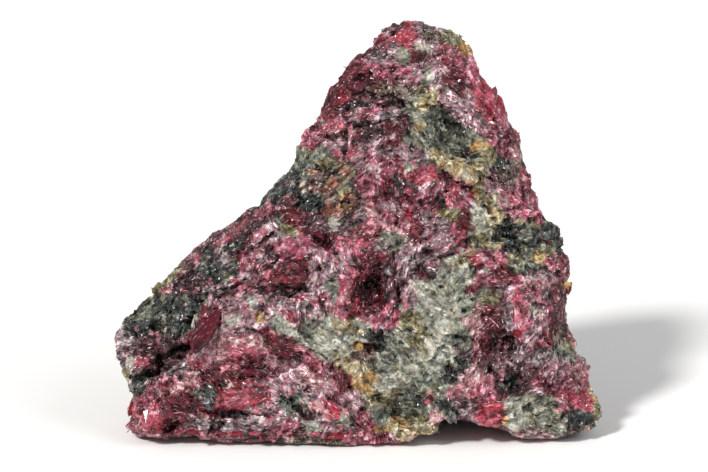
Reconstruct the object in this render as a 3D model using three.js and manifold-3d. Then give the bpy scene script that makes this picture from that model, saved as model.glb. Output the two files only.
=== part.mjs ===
// A broken hand specimen of eudialyte rock that stands on its own base.
// Sizes are millimetres, +Z is up, and the broken face looks towards -Y and leans back a little.
// Places on the face are given as across (to the right), up (along the face) and deep (into the stone).

import * as THREE from 'three';
import { ConvexGeometry } from 'three/addons/geometries/ConvexGeometry.js';
import { ImprovedNoise } from 'three/addons/math/ImprovedNoise.js';
import { mergeVertices } from 'three/addons/utils/BufferGeometryUtils.js';
import Module from 'manifold-3d';

// Driving dimensions
const FACE_LEAN = THREE.MathUtils.degToRad(15.7);
const STONE_HEART = { across: 2, up: 18, deep: 11 };
const FACE_MIDDLE = { across: 1, up: 17, deep: 0.9 };
const FACE_SAG = 0.0022;
const RIM_FALL = 3.4;
const RIM_REACH = 1.9;
const SIDE_START = 4.5;
const SIDE_TAPER = 0.24;
const FOOT_CURL_HEIGHT = 2.4;
const FOOT_CURL_SLOPE = 0.9;
const NOTCH_DEPTH = 16;
const NOTCH_START = -6;
const NOTCH_MIDDLE = 13.5;
const NOTCH_NARROWING = 0.82;
const NOTCH_STEPS = 8;

// Size of the mesh and of its broken grains
const SPHERE_DETAIL = 15;
const SPHERE_STRETCH = { across: 31, up: 30, deep: 17 };
const MARCH = { steps: 160, share: 0.6, least: 0.08 };
const RELAX_ROUNDS = 20;
const RELAX_HALVINGS = 6;
const FINAL_HALVINGS = 14;
const OUTLINE_GROWTH = 0.8;
const SWELL_LENGTH = 8.5;
const SWELL_HEIGHT = 0.75;
const GRAIN_SIZE = 3.9;
const GRAIN_TILT = 0.62;
const FACE_ROUGHNESS = 0.72;
const RIM_ROUGHNESS = 0.3;
const RIM_WIDTH = 2.5;
const BACK_START = 7;
const BACK_FULL = 13;

// The base: flat, with shallow broken hollows that keep clear of the flat patch in the middle
const BASE_HOLLOW_DEPTH = 1.1;
const BASE_HOLLOW_SIZE = 7.5;
const BASE_FLAT_CENTRE = { across: -2, back: 13 };
const BASE_FLAT_RADIUS = 7;
const BASE_FLAT_EDGE = 10;
const BASE_SWELL = { start: 0.05, full: 0.4, level: 4.3 };
const BASE_SNAP = 0.06;

// The outline of the face, clockwise from the top, as [across, up].
// The notch under its right side is cut later.
const OUTLINE = [
	[4.3, 52.6], [5.3, 53.3], [8.5, 53.3], [10.7, 52.3], [11.7, 52.1], [12.8, 51.1], [13.9, 49.8],
	[14.2, 48.7], [15.2, 46.5], [15.9, 45.3], [17.7, 43.7], [18.0, 42.2], [18.3, 40.9], [19.7, 38.9],
	[19.6, 37.8], [20.2, 35.7], [21.0, 33.7], [20.9, 32.6], [21.7, 31.7], [21.9, 30.4], [24.3, 27.8],
	[24.4, 26.7], [25.6, 23.8], [25.7, 21.7], [25.1, 21.3], [25.9, 20.8], [25.3, 20.1], [25.1, 17.3],
	[25.6, 15.7], [27.0, 13.8], [26.7, 12.9], [27.9, 12.2], [28.4, 11.0], [28.6, 8.9], [29.1, 7.3],
	[30.0, 4.9], [29.3, 3.8], [27.1, 1.4], [23.0, 2.0], [18.0, 1.2], [9.0, 1.0], [3.6, 1.0], [-0.1, 0.0],
	[-3.2, 0.5], [-10.0, 1.1], [-15.3, 0.8], [-17.1, 0.4], [-20.1, 1.3], [-22.4, 1.1], [-23.0, 0.4],
	[-25.6, 0.8], [-28.6, 3.5], [-27.4, 4.7], [-28.2, 5.5], [-27.4, 7.3], [-28.7, 10.2], [-30.0, 14.9],
	[-28.4, 17.4], [-25.7, 19.6], [-25.2, 20.5], [-22.4, 22.2], [-22.1, 23.3], [-20.4, 24.8],
	[-16.3, 27.5], [-14.9, 28.5], [-13.7, 29.9], [-12.0, 30.3], [-10.6, 32.6], [-8.2, 34.8],
	[-7.3, 36.0], [-7.1, 37.6], [-6.4, 39.6], [-5.2, 40.4], [-3.4, 44.5], [-2.1, 46.3], [-0.9, 48.1],
	[1.9, 50.2], [3.2, 52.0],
];

// The notch under the right side of the face, from its right foot over the arch to its left foot
const NOTCH = [
	[24.5, -8], [22.4, 1.9], [20.0, 2.2], [18.8, 3.2], [17.9, 4.0], [15.8, 3.6], [14.1, 4.3],
	[12.7, 5.0], [10.4, 4.9], [9.0, 4.2], [9.2, 3.4], [7.1, 2.7], [4.4, 1.5], [2.6, -8],
];

// Broad forms of the face: place, half sizes, turn in degrees, and how far each stands proud (or, when
// less than zero, how deep it is sunk)
const FACE_FORMS = [
	{ name: 'left lobe', across: -26.2, up: 17.0, wide: 6.2, tall: 4.9, turn: -24, rise: -4.2 },
	{ name: 'groove below the lobe', across: -23.2, up: 11.6, wide: 5.0, tall: 1.1, turn: 31, rise: -2.8 },
	{ name: 'blade beside the lobe', across: -18.6, up: 16.6, wide: 0.8, tall: 4.2, turn: -18, rise: 1.3 },
	{ name: 'lower left mass', across: -22.0, up: 6.0, wide: 6.0, tall: 3.4, turn: 8, rise: 1.1 },
	{ name: 'lilac crust', across: -11.6, up: 16.2, wide: 5.2, tall: 3.1, turn: 12, rise: 1.2 },
	{ name: 'lower crust', across: -4.6, up: 5.6, wide: 3.2, tall: 2.2, turn: 0, rise: 0.8 },
	{ name: 'shelf under the crust', across: -11.0, up: 11.0, wide: 5.5, tall: 1.4, turn: 10, rise: -1.0 },
	{ name: 'raspberry shoulder', across: -0.4, up: 24.6, wide: 4.4, tall: 2.4, turn: 14, rise: 1.2 },
	{ name: 'dark crystal hollow', across: 1.8, up: 19.9, wide: 1.9, tall: 2.1, turn: 0, rise: -2.4 },
	{ name: 'dark pit', across: -22.8, up: 3.8, wide: 1.3, tall: 1.0, turn: 20, rise: -2.4 },
	{ name: 'trough', across: 11.3, up: 39.2, wide: 2.2, tall: 4.2, turn: 24, rise: -2.3 },
	{ name: 'lip of the trough', across: 11.8, up: 34.9, wide: 4.4, tall: 0.9, turn: -31, rise: 0.8 },
	{ name: 'upper left bench', across: 2.6, up: 43.4, wide: 5.4, tall: 1.5, turn: -6, rise: -1.3 },
	{ name: 'olive pit', across: 7.9, up: 44.6, wide: 1.5, tall: 1.4, turn: 0, rise: -1.1 },
	{ name: 'pale block', across: 8.8, up: 16.2, wide: 4.0, tall: 6.0, turn: 0, rise: 0.5 },
	{ name: 'dark seam left of the block', across: 2.6, up: 13.9, wide: 1.8, tall: 1.6, turn: 0, rise: -1.3 },
	{ name: 'dark hollow under the block', across: 5.8, up: 6.2, wide: 3.0, tall: 2.6, turn: 12, rise: -1.8 },
	{ name: 'dark seam right of the block', across: 17.4, up: 13.8, wide: 2.2, tall: 1.9, turn: 0, rise: -1.5 },
	{ name: 'speckled slope', across: 19.6, up: 26.6, wide: 3.6, tall: 2.8, turn: -20, rise: -1.2 },
	{ name: 'right column', across: 19.6, up: 18.4, wide: 1.6, tall: 3.6, turn: 6, rise: 1.0 },
	{ name: 'right flank', across: 26.5, up: 9.5, wide: 2.4, tall: 6.5, turn: 8, rise: -1.8 },
	{ name: 'small hollow', across: 8.6, up: 24.3, wide: 1.6, tall: 1.3, turn: 0, rise: -1.0 },
	{ name: 'red ledge', across: -8.6, up: 20.0, wide: 3.2, tall: 1.1, turn: 0, rise: -1.0 },
	{ name: 'upper middle shoulder', across: 6.6, up: 33.6, wide: 4.2, tall: 2.6, turn: 0, rise: 0.8 },
	{ name: 'top knob', across: 6.4, up: 50.2, wide: 2.6, tall: 2.0, turn: 0, rise: 0.9 },
];

// A form is flat inside the first share of its half sizes and has run out at the second
const FORM_FLAT = 0.45;
const FORM_EDGE = 1.25;

// Single crystals with flat faces that stand out of the face: place, half sizes and turn in degrees
const FACE_CRYSTALS = [
	{ across: 5.4, up: 51.4, wide: 1.6, tall: 1.4, turn: 10 },
	{ across: 16.4, up: 42.9, wide: 1.5, tall: 2.2, turn: 20 },
	{ across: 13.6, up: 47.2, wide: 1.3, tall: 1.6, turn: 15 },
	{ across: 8.3, up: 47.2, wide: 1.7, tall: 2.2, turn: -12 },
	{ across: -0.4, up: 45.8, wide: 2.9, tall: 1.2, turn: 38 },
	{ across: 17.8, up: 39.1, wide: 1.4, tall: 2.2, turn: 12 },
	{ across: 3.9, up: 33.5, wide: 1.8, tall: 1.6, turn: 0 },
	{ across: 7.7, up: 34.6, wide: 1.2, tall: 1.2, turn: 30 },
	{ across: 11.1, up: 32.7, wide: 1.7, tall: 1.7, turn: 8 },
	{ across: 20.0, up: 31.6, wide: 1.6, tall: 2.6, turn: 14 },
	{ across: -2.3, up: 33.4, wide: 2.2, tall: 2.1, turn: 25 },
	{ across: 12.6, up: 27.8, wide: 1.2, tall: 2.2, turn: -8 },
	{ across: -0.1, up: 24.6, wide: 3.2, tall: 1.7, turn: 12 },
	{ across: -8.5, up: 25.0, wide: 2.4, tall: 1.8, turn: -14 },
	{ across: 12.7, up: 22.6, wide: 1.8, tall: 1.5, turn: 0 },
	{ across: 19.3, up: 17.3, wide: 1.3, tall: 2.5, turn: 6 },
	{ across: 23.6, up: 19.8, wide: 1.3, tall: 1.6, turn: 0 },
	{ across: -19.3, up: 16.4, wide: 0.8, tall: 3.1, turn: -20 },
	{ across: -9.8, up: 16.5, wide: 1.1, tall: 1.1, turn: 30 },
	{ across: 3.2, up: 16.6, wide: 2.1, tall: 0.9, turn: 6 },
	{ across: -4.8, up: 14.1, wide: 2.6, tall: 1.7, turn: 0 },
	{ across: -12.3, up: 10.1, wide: 2.3, tall: 1.0, turn: -4 },
	{ across: -2.6, up: 9.3, wide: 1.8, tall: 1.8, turn: 35 },
	{ across: 14.6, up: 9.6, wide: 2.1, tall: 1.8, turn: 0 },
	{ across: 26.4, up: 7.4, wide: 1.7, tall: 1.3, turn: -10 },
	{ across: -14.9, up: 6.6, wide: 2.3, tall: 1.2, turn: 5 },
	{ across: -25.4, up: 5.0, wide: 1.9, tall: 1.9, turn: 15 },
	{ across: 16.2, up: 5.2, wide: 1.7, tall: 1.6, turn: 20 },
	{ across: 20.6, up: 5.4, wide: 2.2, tall: 1.9, turn: 0 },
	{ across: 8.4, up: 18.6, wide: 2.6, tall: 2.1, turn: 20 },
	{ across: 9.8, up: 13.2, wide: 2.3, tall: 2.7, turn: -12 },
	{ across: -22.4, up: 18.0, wide: 1.9, tall: 1.5, turn: 30 },
	{ across: -26.8, up: 14.6, wide: 1.7, tall: 1.5, turn: 0 },
	{ across: -20.2, up: 9.0, wide: 2.0, tall: 1.4, turn: 25 },
	{ across: -8.4, up: 5.0, wide: 1.9, tall: 1.5, turn: -10 },
	{ across: -14.6, up: 20.4, wide: 1.8, tall: 1.4, turn: 15 },
	{ across: -5.0, up: 29.2, wide: 1.7, tall: 1.5, turn: 0 },
	{ across: 2.4, up: 39.4, wide: 2.4, tall: 1.3, turn: 18 },
	{ across: 22.4, up: 24.4, wide: 1.4, tall: 1.7, turn: 0 },
	{ across: 1.0, up: 10.9, wide: 1.6, tall: 1.3, turn: -20 },
	{ across: 6.3, up: 28.4, wide: 1.7, tall: 1.4, turn: 10 },
];
const CRYSTAL_PROUD = 1.1;
const CRYSTAL_ROOT = 2.2;
const CRYSTAL_ROOT_SHARE = 0.7;
const CRYSTAL_SPREAD = 1.25;
const CRYSTAL_LEAN = 0.7;
const CRYSTAL_SLANT = 0.6;
const CRYSTAL_SIDES = 5;
const CRYSTAL_SIDE_SHIFT = 0.6;
const CRYSTAL_LIP = { least: 0.1, most: 0.5 };
const CRYSTAL_CAP = { least: 0.55, most: 0.75 };

// Crystals on the back: how many, how big, the part of the back they lie in, and how far back they start
const REAR_CRYSTALS = 20;
const REAR_CRYSTAL_SIZE = { least: 1.4, most: 3.2 };
const REAR_FIELD = { left: -24, right: 25, bottom: 9, top: 50 };
const REAR_DEEP = { bottom: 30, top: 14 };
const REAR_CLEARANCE = 4.5;

// Breaks that end the stone at the back: a point on each plane, and the way it faces
const BREAKS = [
	{ name: 'back', through: [0, 25.6, 8], facing: [0.02, 1, 0.1] },
	{ name: 'left of the back', through: [-17, 21.5, 8], facing: [-0.62, 0.86, 0.12] },
	{ name: 'right of the back', through: [20, 20.5, 8], facing: [0.66, 0.9, 0.1] },
	{ name: 'upper left of the back', through: [-3, 22.6, 35], facing: [-0.42, 0.85, 0.3] },
	{ name: 'upper right of the back', through: [15, 22.8, 34], facing: [0.55, 0.86, 0.22] },
	{ name: 'under the back', through: [0, 25.2, 3.6], facing: [0.1, 0.85, -0.52] },
	{ name: 'top', through: [8, 20.2, 50.6], facing: [0.1, 0.55, 0.84] },
	{ name: 'left end', through: [-30.2, 13, 13], facing: [-0.9, 0.42, 0.12] },
	{ name: 'right end', through: [30.0, 12, 6], facing: [0.88, 0.46, 0.1] },
].map( ( plane ) => ( {
	through: new THREE.Vector3( ...plane.through ),
	facing: new THREE.Vector3( ...plane.facing ).normalize(),
} ) );

const noise = new ImprovedNoise();

// Turns a place on the face into a point of the model
function facePoint( across, up, deep ) {

	const back = up * Math.sin( FACE_LEAN ) + deep * Math.cos( FACE_LEAN );
	const height = up * Math.cos( FACE_LEAN ) - deep * Math.sin( FACE_LEAN );
	return new THREE.Vector3( across, back, height );

}

// Turns a point of the model into a place on the face
function placeOnFace( point ) {

	return {
		across: point.x,
		up: point.y * Math.sin( FACE_LEAN ) + point.z * Math.cos( FACE_LEAN ),
		deep: point.y * Math.cos( FACE_LEAN ) - point.z * Math.sin( FACE_LEAN ),
	};

}

function seededRandom( seed ) {

	let state = seed;
	return () => {

		state = ( state * 1664525 + 1013904223 ) % 4294967296;
		return state / 4294967296;

	};

}

// Distance from a place to the outline: less than zero inside
function outlineDistance( across, up ) {

	let nearest = Infinity;
	let inside = false;
	for ( let i = 0; i < OUTLINE.length; i ++ ) {

		const [ x1, y1 ] = OUTLINE[ i ];
		const [ x2, y2 ] = OUTLINE[ ( i + 1 ) % OUTLINE.length ];
		const runX = x2 - x1;
		const runY = y2 - y1;
		const along = ( ( across - x1 ) * runX + ( up - y1 ) * runY ) / ( runX * runX + runY * runY );
		const t = THREE.MathUtils.clamp( along, 0, 1 );
		nearest = Math.min( nearest, Math.hypot( across - x1 - t * runX, up - y1 - t * runY ) );
		const crosses = ( y1 > up ) !== ( y2 > up ) && across < x1 + ( up - y1 ) * runX / runY;
		if ( crosses ) inside = ! inside;

	}

	return inside ? - nearest : nearest;

}

// How strongly a broad form acts at a place: one in its middle, nothing past its edge
function formStrength( form, across, up ) {

	const turn = THREE.MathUtils.degToRad( form.turn );
	const dx = across - form.across;
	const dy = up - form.up;
	const wide = ( dx * Math.cos( turn ) + dy * Math.sin( turn ) ) / form.wide;
	const tall = ( dy * Math.cos( turn ) - dx * Math.sin( turn ) ) / form.tall;
	return 1 - THREE.MathUtils.smoothstep( Math.hypot( wide, tall ), FORM_FLAT, FORM_EDGE );

}

// Depth of the broken face at a place
function faceDepth( across, up, rim ) {

	const fromMiddle = ( across - FACE_MIDDLE.across ) ** 2 + ( up - FACE_MIDDLE.up ) ** 2;
	let depth = FACE_MIDDLE.deep + FACE_SAG * fromMiddle;
	depth += RIM_FALL * Math.exp( Math.min( rim, 0 ) / RIM_REACH );
	depth += Math.max( FOOT_CURL_HEIGHT - up, 0 ) * FOOT_CURL_SLOPE;
	for ( const form of FACE_FORMS ) depth -= form.rise * formStrength( form, across, up );
	return depth;

}

// Height of the broken base at a point: zero on the flat patch, a little more in the hollows
function baseHeight( point ) {

	const fromFlat = Math.hypot( point.x - BASE_FLAT_CENTRE.across, point.y - BASE_FLAT_CENTRE.back );
	const away = THREE.MathUtils.smoothstep( fromFlat, BASE_FLAT_RADIUS, BASE_FLAT_EDGE );
	const swell = noise.noise( point.x / BASE_HOLLOW_SIZE, point.y / BASE_HOLLOW_SIZE, BASE_SWELL.level );
	return BASE_HOLLOW_DEPTH * away * THREE.MathUtils.smoothstep( swell, BASE_SWELL.start, BASE_SWELL.full );

}

// Signed distance to the stone before its grains break up the surface: less than zero inside
function stoneDistance( point, roughness ) {

	const place = placeOnFace( point );
	const rim = outlineDistance( place.across, place.up );
	const taper = Math.max( place.deep - SIDE_START, 0 ) * SIDE_TAPER;
	const side = rim - OUTLINE_GROWTH + taper;
	let distance = Math.max( side, faceDepth( place.across, place.up, rim ) - place.deep );
	for ( const plane of BREAKS ) {

		const past = ( point.x - plane.through.x ) * plane.facing.x
			+ ( point.y - plane.through.y ) * plane.facing.y
			+ ( point.z - plane.through.z ) * plane.facing.z;
		distance = Math.max( distance, past );

	}

	const rear = THREE.MathUtils.smoothstep( place.deep, BACK_START, BACK_FULL );
	const fromRim = THREE.MathUtils.smoothstep( - rim, 0, RIM_WIDTH );
	const face = THREE.MathUtils.lerp( RIM_ROUGHNESS, FACE_ROUGHNESS, fromRim );
	const strength = THREE.MathUtils.lerp( face, 1, rear );
	const swell = noise.noise( point.x / SWELL_LENGTH, point.y / SWELL_LENGTH, point.z / SWELL_LENGTH );
	distance += strength * SWELL_HEIGHT * swell;
	if ( roughness ) distance += strength * grainHeight( point );
	return Math.max( distance, baseHeight( point ) - point.z );

}

// A steady value from 0 to 1 for a cell of space and a channel
function cellValue( i, j, k, channel ) {

	const wave = Math.sin( i * 127.1 + j * 311.7 + k * 74.7 + channel * 53.3 ) * 43758.5453;
	return wave - Math.floor( wave );

}

// Tilted flat facet of the grain that a point belongs to
function grainHeight( point ) {

	const x = point.x / GRAIN_SIZE;
	const y = point.y / GRAIN_SIZE;
	const z = point.z / GRAIN_SIZE;
	let nearest = Infinity;
	let height = 0;
	for ( let i = Math.floor( x ) - 1; i <= Math.floor( x ) + 1; i ++ ) {

		for ( let j = Math.floor( y ) - 1; j <= Math.floor( y ) + 1; j ++ ) {

			for ( let k = Math.floor( z ) - 1; k <= Math.floor( z ) + 1; k ++ ) {

				const dx = x - i - cellValue( i, j, k, 1 );
				const dy = y - j - cellValue( i, j, k, 2 );
				const dz = z - k - cellValue( i, j, k, 3 );
				const distance = dx * dx + dy * dy + dz * dz;
				if ( distance >= nearest ) continue;
				nearest = distance;
				const tiltX = cellValue( i, j, k, 4 ) - 0.5;
				const tiltY = cellValue( i, j, k, 5 ) - 0.5;
				const tiltZ = cellValue( i, j, k, 6 ) - 0.5;
				height = 2 * GRAIN_TILT * GRAIN_SIZE * ( dx * tiltX + dy * tiltY + dz * tiltZ );
				height += GRAIN_TILT * ( cellValue( i, j, k, 7 ) - 0.5 );

			}

		}

	}

	return height;

}

// Finds where a ray from the heart of the stone leaves it
function surfacePoint( heart, direction, roughness, halvings = FINAL_HALVINGS ) {

	const point = heart.clone();
	let inner = 0;
	let outer = 0;
	for ( let step = 0; step < MARCH.steps; step ++ ) {

		point.copy( heart ).addScaledVector( direction, outer );
		const distance = stoneDistance( point, roughness );
		if ( distance > 0 ) break;
		inner = outer;
		outer += Math.max( - distance * MARCH.share, MARCH.least );

	}

	for ( let halving = 0; halving < halvings; halving ++ ) {

		const middle = ( inner + outer ) / 2;
		point.copy( heart ).addScaledVector( direction, middle );
		if ( stoneDistance( point, roughness ) > 0 ) outer = middle;
		else inner = middle;

	}

	return point.copy( heart ).addScaledVector( direction, inner );

}

// Lists the neighbours of each vertex
function neighbourLists( geometry ) {

	const index = geometry.index.array;
	const lists = Array.from( { length: geometry.attributes.position.count }, () => new Set() );
	for ( let i = 0; i < index.length; i += 3 ) {

		for ( let corner = 0; corner < 3; corner ++ ) {

			const here = index[ i + corner ];
			lists[ here ].add( index[ i + ( corner + 1 ) % 3 ] );
			lists[ here ].add( index[ i + ( corner + 2 ) % 3 ] );

		}

	}

	return lists.map( ( list ) => [ ...list ] );

}

function withoutExtras( geometry ) {

	const plain = geometry.clone();
	plain.deleteAttribute( 'normal' );
	plain.deleteAttribute( 'uv' );
	return mergeVertices( plain );

}

// The body of the stone: a sphere's mesh drawn onto the stone's surface, evened out, then broken into grains
function bodyGeometry() {

	const geometry = withoutExtras( new THREE.IcosahedronGeometry( 1, SPHERE_DETAIL ) );
	const heart = facePoint( STONE_HEART.across, STONE_HEART.up, STONE_HEART.deep );
	const position = geometry.attributes.position;
	const directions = [];
	for ( let i = 0; i < position.count; i ++ ) {

		const across = position.getX( i ) * SPHERE_STRETCH.across;
		const up = position.getY( i ) * SPHERE_STRETCH.up;
		const deep = - position.getZ( i ) * SPHERE_STRETCH.deep;
		directions.push( facePoint( across, up, deep ).normalize() );

	}

	const neighbours = neighbourLists( geometry );
	let points = directions.map( ( direction ) => surfacePoint( heart, direction, false ) );
	for ( let round = 0; round < RELAX_ROUNDS; round ++ ) {

		points.forEach( ( point, i ) => {

			const middle = new THREE.Vector3();
			neighbours[ i ].forEach( ( other ) => middle.add( points[ other ] ) );
			middle.divideScalar( neighbours[ i ].length );
			directions[ i ].copy( middle ).sub( heart ).normalize();

		} );
		points = directions.map( ( direction ) => surfacePoint( heart, direction, false, RELAX_HALVINGS ) );

	}

	points = directions.map( ( direction ) => surfacePoint( heart, direction, true ) );
	points.forEach( ( point, i ) => {

		const height = point.z < BASE_SNAP ? 0 : point.z;
		position.setXYZ( i, point.x, point.y, height );

	} );
	return geometry;

}

// One crystal with flat faces, growing along +Z from its root: a prism with a slanted, bevelled cap
function crystalGeometry( wide, tall, proud, random ) {

	const points = [];
	const slantX = ( random() - 0.5 ) * CRYSTAL_SLANT;
	const slantY = ( random() - 0.5 ) * CRYSTAL_SLANT;
	for ( let side = 0; side < CRYSTAL_SIDES; side ++ ) {

		const angle = ( side + CRYSTAL_SIDE_SHIFT * random() ) * 2 * Math.PI / CRYSTAL_SIDES;
		const x = Math.cos( angle ) * wide * CRYSTAL_SPREAD;
		const y = Math.sin( angle ) * tall * CRYSTAL_SPREAD;
		const lip = proud * THREE.MathUtils.lerp( CRYSTAL_LIP.least, CRYSTAL_LIP.most, random() );
		const cap = THREE.MathUtils.lerp( CRYSTAL_CAP.least, CRYSTAL_CAP.most, random() );
		const top = proud + slantX * x + slantY * y;
		points.push( new THREE.Vector3( x * CRYSTAL_ROOT_SHARE, y * CRYSTAL_ROOT_SHARE, - CRYSTAL_ROOT ) );
		points.push( new THREE.Vector3( x, y, Math.min( lip, top ) ) );
		points.push( new THREE.Vector3( x * cap, y * cap, top ) );

	}

	return withoutExtras( new ConvexGeometry( points ) );

}

// Stands a crystal at a point so that it grows along the outward direction, turned about it
function placeCrystal( geometry, point, outward, turn ) {

	const sideways = new THREE.Vector3( 0, 0, 1 ).cross( outward ).normalize();
	const upward = outward.clone().cross( sideways );
	const basis = new THREE.Matrix4().makeBasis( sideways, upward, outward );
	geometry.rotateZ( THREE.MathUtils.degToRad( turn ) );
	geometry.applyMatrix4( basis );
	geometry.translate( point.x, point.y, point.z );
	return geometry;

}

function faceCrystals( random ) {

	return FACE_CRYSTALS.map( ( crystal ) => {

		const rim = outlineDistance( crystal.across, crystal.up );
		const deep = faceDepth( crystal.across, crystal.up, rim );
		const lean = new THREE.Vector3( random() - 0.5, 0, random() - 0.5 ).multiplyScalar( CRYSTAL_LEAN );
		const outward = facePoint( 0, 0, - 1 ).add( lean ).normalize();
		const geometry = crystalGeometry( crystal.wide, crystal.tall, CRYSTAL_PROUD, random );
		return placeCrystal( geometry, facePoint( crystal.across, crystal.up, deep ), outward, crystal.turn );

	} );

}

function rearCrystals( heart, random ) {

	const crystals = [];
	for ( let i = 0; i < REAR_CRYSTALS; i ++ ) {

		const across = THREE.MathUtils.lerp( REAR_FIELD.left, REAR_FIELD.right, random() );
		const share = ( i + random() ) / REAR_CRYSTALS;
		const up = THREE.MathUtils.lerp( REAR_FIELD.bottom, REAR_FIELD.top, share );
		const deep = THREE.MathUtils.lerp( REAR_DEEP.bottom, REAR_DEEP.top, share );
		const direction = facePoint( across, up, deep ).sub( heart ).normalize();
		const wide = THREE.MathUtils.lerp( REAR_CRYSTAL_SIZE.least, REAR_CRYSTAL_SIZE.most, random() );
		const tall = THREE.MathUtils.lerp( REAR_CRYSTAL_SIZE.least, REAR_CRYSTAL_SIZE.most, random() );
		const turn = 360 * random();
		const point = surfacePoint( heart, direction, true );
		if ( point.z < REAR_CLEARANCE || placeOnFace( point ).deep < BACK_START ) continue;
		const geometry = crystalGeometry( wide, tall, CRYSTAL_PROUD, random );
		crystals.push( placeCrystal( geometry, point, direction, turn ) );

	}

	return crystals;

}

// The block that cuts the notch, narrower towards its back
function notchGeometry() {

	const shape = new THREE.Shape( NOTCH.map( ( [ across, up ] ) => new THREE.Vector2( across, up ) ) );
	const length = NOTCH_DEPTH - NOTCH_START;
	const settings = { depth: length, steps: NOTCH_STEPS, bevelEnabled: false };
	const geometry = new THREE.ExtrudeGeometry( shape, settings );
	const position = geometry.attributes.position;
	for ( let i = 0; i < position.count; i ++ ) {

		const share = position.getZ( i ) / length;
		const narrowing = THREE.MathUtils.lerp( NOTCH_NARROWING, 1, share );
		const across = NOTCH_MIDDLE + ( position.getX( i ) - NOTCH_MIDDLE ) * narrowing;
		const point = facePoint( across, position.getY( i ), NOTCH_DEPTH - position.getZ( i ) );
		position.setXYZ( i, point.x, point.y, point.z );

	}

	return withoutExtras( geometry );

}

function toSolid( wasm, geometry ) {

	const vertProperties = new Float32Array( geometry.attributes.position.array );
	const triVerts = new Uint32Array( geometry.index.array );
	return new wasm.Manifold( new wasm.Mesh( { numProp: 3, vertProperties, triVerts } ) );

}

function toGeometry( solid ) {

	const mesh = solid.getMesh();
	const geometry = new THREE.BufferGeometry();
	geometry.setAttribute( 'position', new THREE.BufferAttribute( mesh.vertProperties, 3 ) );
	geometry.setIndex( new THREE.BufferAttribute( mesh.triVerts, 1 ) );
	return geometry;

}

// Moves the geometry so that the middle of its base is the origin
function centreOnBase( geometry ) {

	geometry.computeBoundingBox();
	const box = geometry.boundingBox;
	geometry.translate( - ( box.min.x + box.max.x ) / 2, - ( box.min.y + box.max.y ) / 2, 0 );
	return geometry;

}

const wasm = await Module();
wasm.setup();

const random = seededRandom( 20 );
const heart = facePoint( STONE_HEART.across, STONE_HEART.up, STONE_HEART.deep );
let stone = toSolid( wasm, bodyGeometry() );
for ( const crystal of [ ...faceCrystals( random ), ...rearCrystals( heart, random ) ] ) {

	stone = stone.add( toSolid( wasm, crystal ) );

}

stone = stone.subtract( toSolid( wasm, notchGeometry() ) );

const stoneMesh = new THREE.Mesh(
	centreOnBase( toGeometry( stone ) ),
	new THREE.MeshStandardMaterial( { color: 0x8c5560, roughness: 0.5, metalness: 0 } ),
);
stoneMesh.name = 'eudialyte_stone';

const specimen = new THREE.Group();
specimen.add( stoneMesh );

export default specimen;
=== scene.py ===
"""Looks of a broken hand specimen of eudialyte rock that stands on its own base.

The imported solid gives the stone's size and place. A fine broken skin takes its place, with a mosaic of
mineral grains, and crystals with flat faces stand out of it. Lengths here are millimetres until a mesh
is made. A place on the broken face is given as across (to the right), up (along the face) and deep
(into the stone).
"""

import math

import bmesh
import bpy
import numpy as np
from bpy.props import FloatProperty, FloatVectorProperty, PointerProperty
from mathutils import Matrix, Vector
from mathutils.bvhtree import BVHTree


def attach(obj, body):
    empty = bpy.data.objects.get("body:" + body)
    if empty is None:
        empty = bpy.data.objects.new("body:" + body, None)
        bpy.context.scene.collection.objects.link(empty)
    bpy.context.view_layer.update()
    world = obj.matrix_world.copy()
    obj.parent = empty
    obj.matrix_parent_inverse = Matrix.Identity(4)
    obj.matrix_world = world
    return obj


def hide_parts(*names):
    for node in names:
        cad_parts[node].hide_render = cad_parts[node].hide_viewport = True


bl_info = {
    "name": "Eudialyte specimen",
    "version": (1, 0, 0),
    "blender": (4, 5, 0),
    "location": "3D View > Sidebar > Specimen",
    "description": "Dresses the packed stone with broken mineral grains and crystals, in a pale studio",
    "category": "Add Mesh",
}

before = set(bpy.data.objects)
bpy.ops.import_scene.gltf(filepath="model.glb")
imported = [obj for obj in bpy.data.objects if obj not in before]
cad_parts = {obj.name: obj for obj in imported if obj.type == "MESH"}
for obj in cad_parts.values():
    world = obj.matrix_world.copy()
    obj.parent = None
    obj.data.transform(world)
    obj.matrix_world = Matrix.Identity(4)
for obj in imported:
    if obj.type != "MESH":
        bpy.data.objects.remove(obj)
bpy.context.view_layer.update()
STONE = "eudialyte_stone"

SKIN = "broken_skin"
ROCK = "broken eudialyte rock"

# A millimetre in metres, how far the broken face leans back, and where its own frame starts
MM = 0.001
FACE_LEAN = math.radians(15.7)
FACE_ORIGIN = np.array((-0.410, -14.527, 0.0))

# The face bulges at its middle, falls back at its rim and curls back at its foot
FACE_MIDDLE = np.array((1.0, 17.0, 0.9))
FACE_SAG = 0.0022
RIM_FALL = 3.4
RIM_REACH = 1.9
FOOT_CURL_HEIGHT = 2.4
FOOT_CURL_SLOPE = 0.9

# The sides stand a little outside the outline, and draw in from some way behind the face
OUTLINE_GROWTH = 0.45
SIDE_START = 4.5
SIDE_TAPER = 0.24

# The notch: how deep it goes, where its middle is, how it narrows, and how high it can reach
NOTCH_DEPTH = 16.0
NOTCH_MIDDLE = 13.5
NOTCH_NARROWING = 0.82
NOTCH_TOP = 10.0

# Swells of the whole stone, which are calm at the rim of the face
SWELL_SIZE = 8.5
SWELL_HEIGHT = 0.45
SWELL_SEED = 7
RIM_CALM = 0.3
RIM_WIDTH = 2.5

# Random values are read from a block this wide, and each grain has this many of them. The first three place
# the grain's middle.
TABLE_SIZE = 32
GRAIN_VALUES = 8

# The stone's field of distances: its spacing, and its reach as across, up and deep
NET_STEP = 0.434
NET_LOW = (-33.0, -9.0, -5.0)
NET_HIGH = (33.0, 56.0, 30.0)
MAP_STEP = 0.12
MAP_LOW = (-38.0, -14.0)
MAP_HIGH = (38.0, 62.0)

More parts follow.
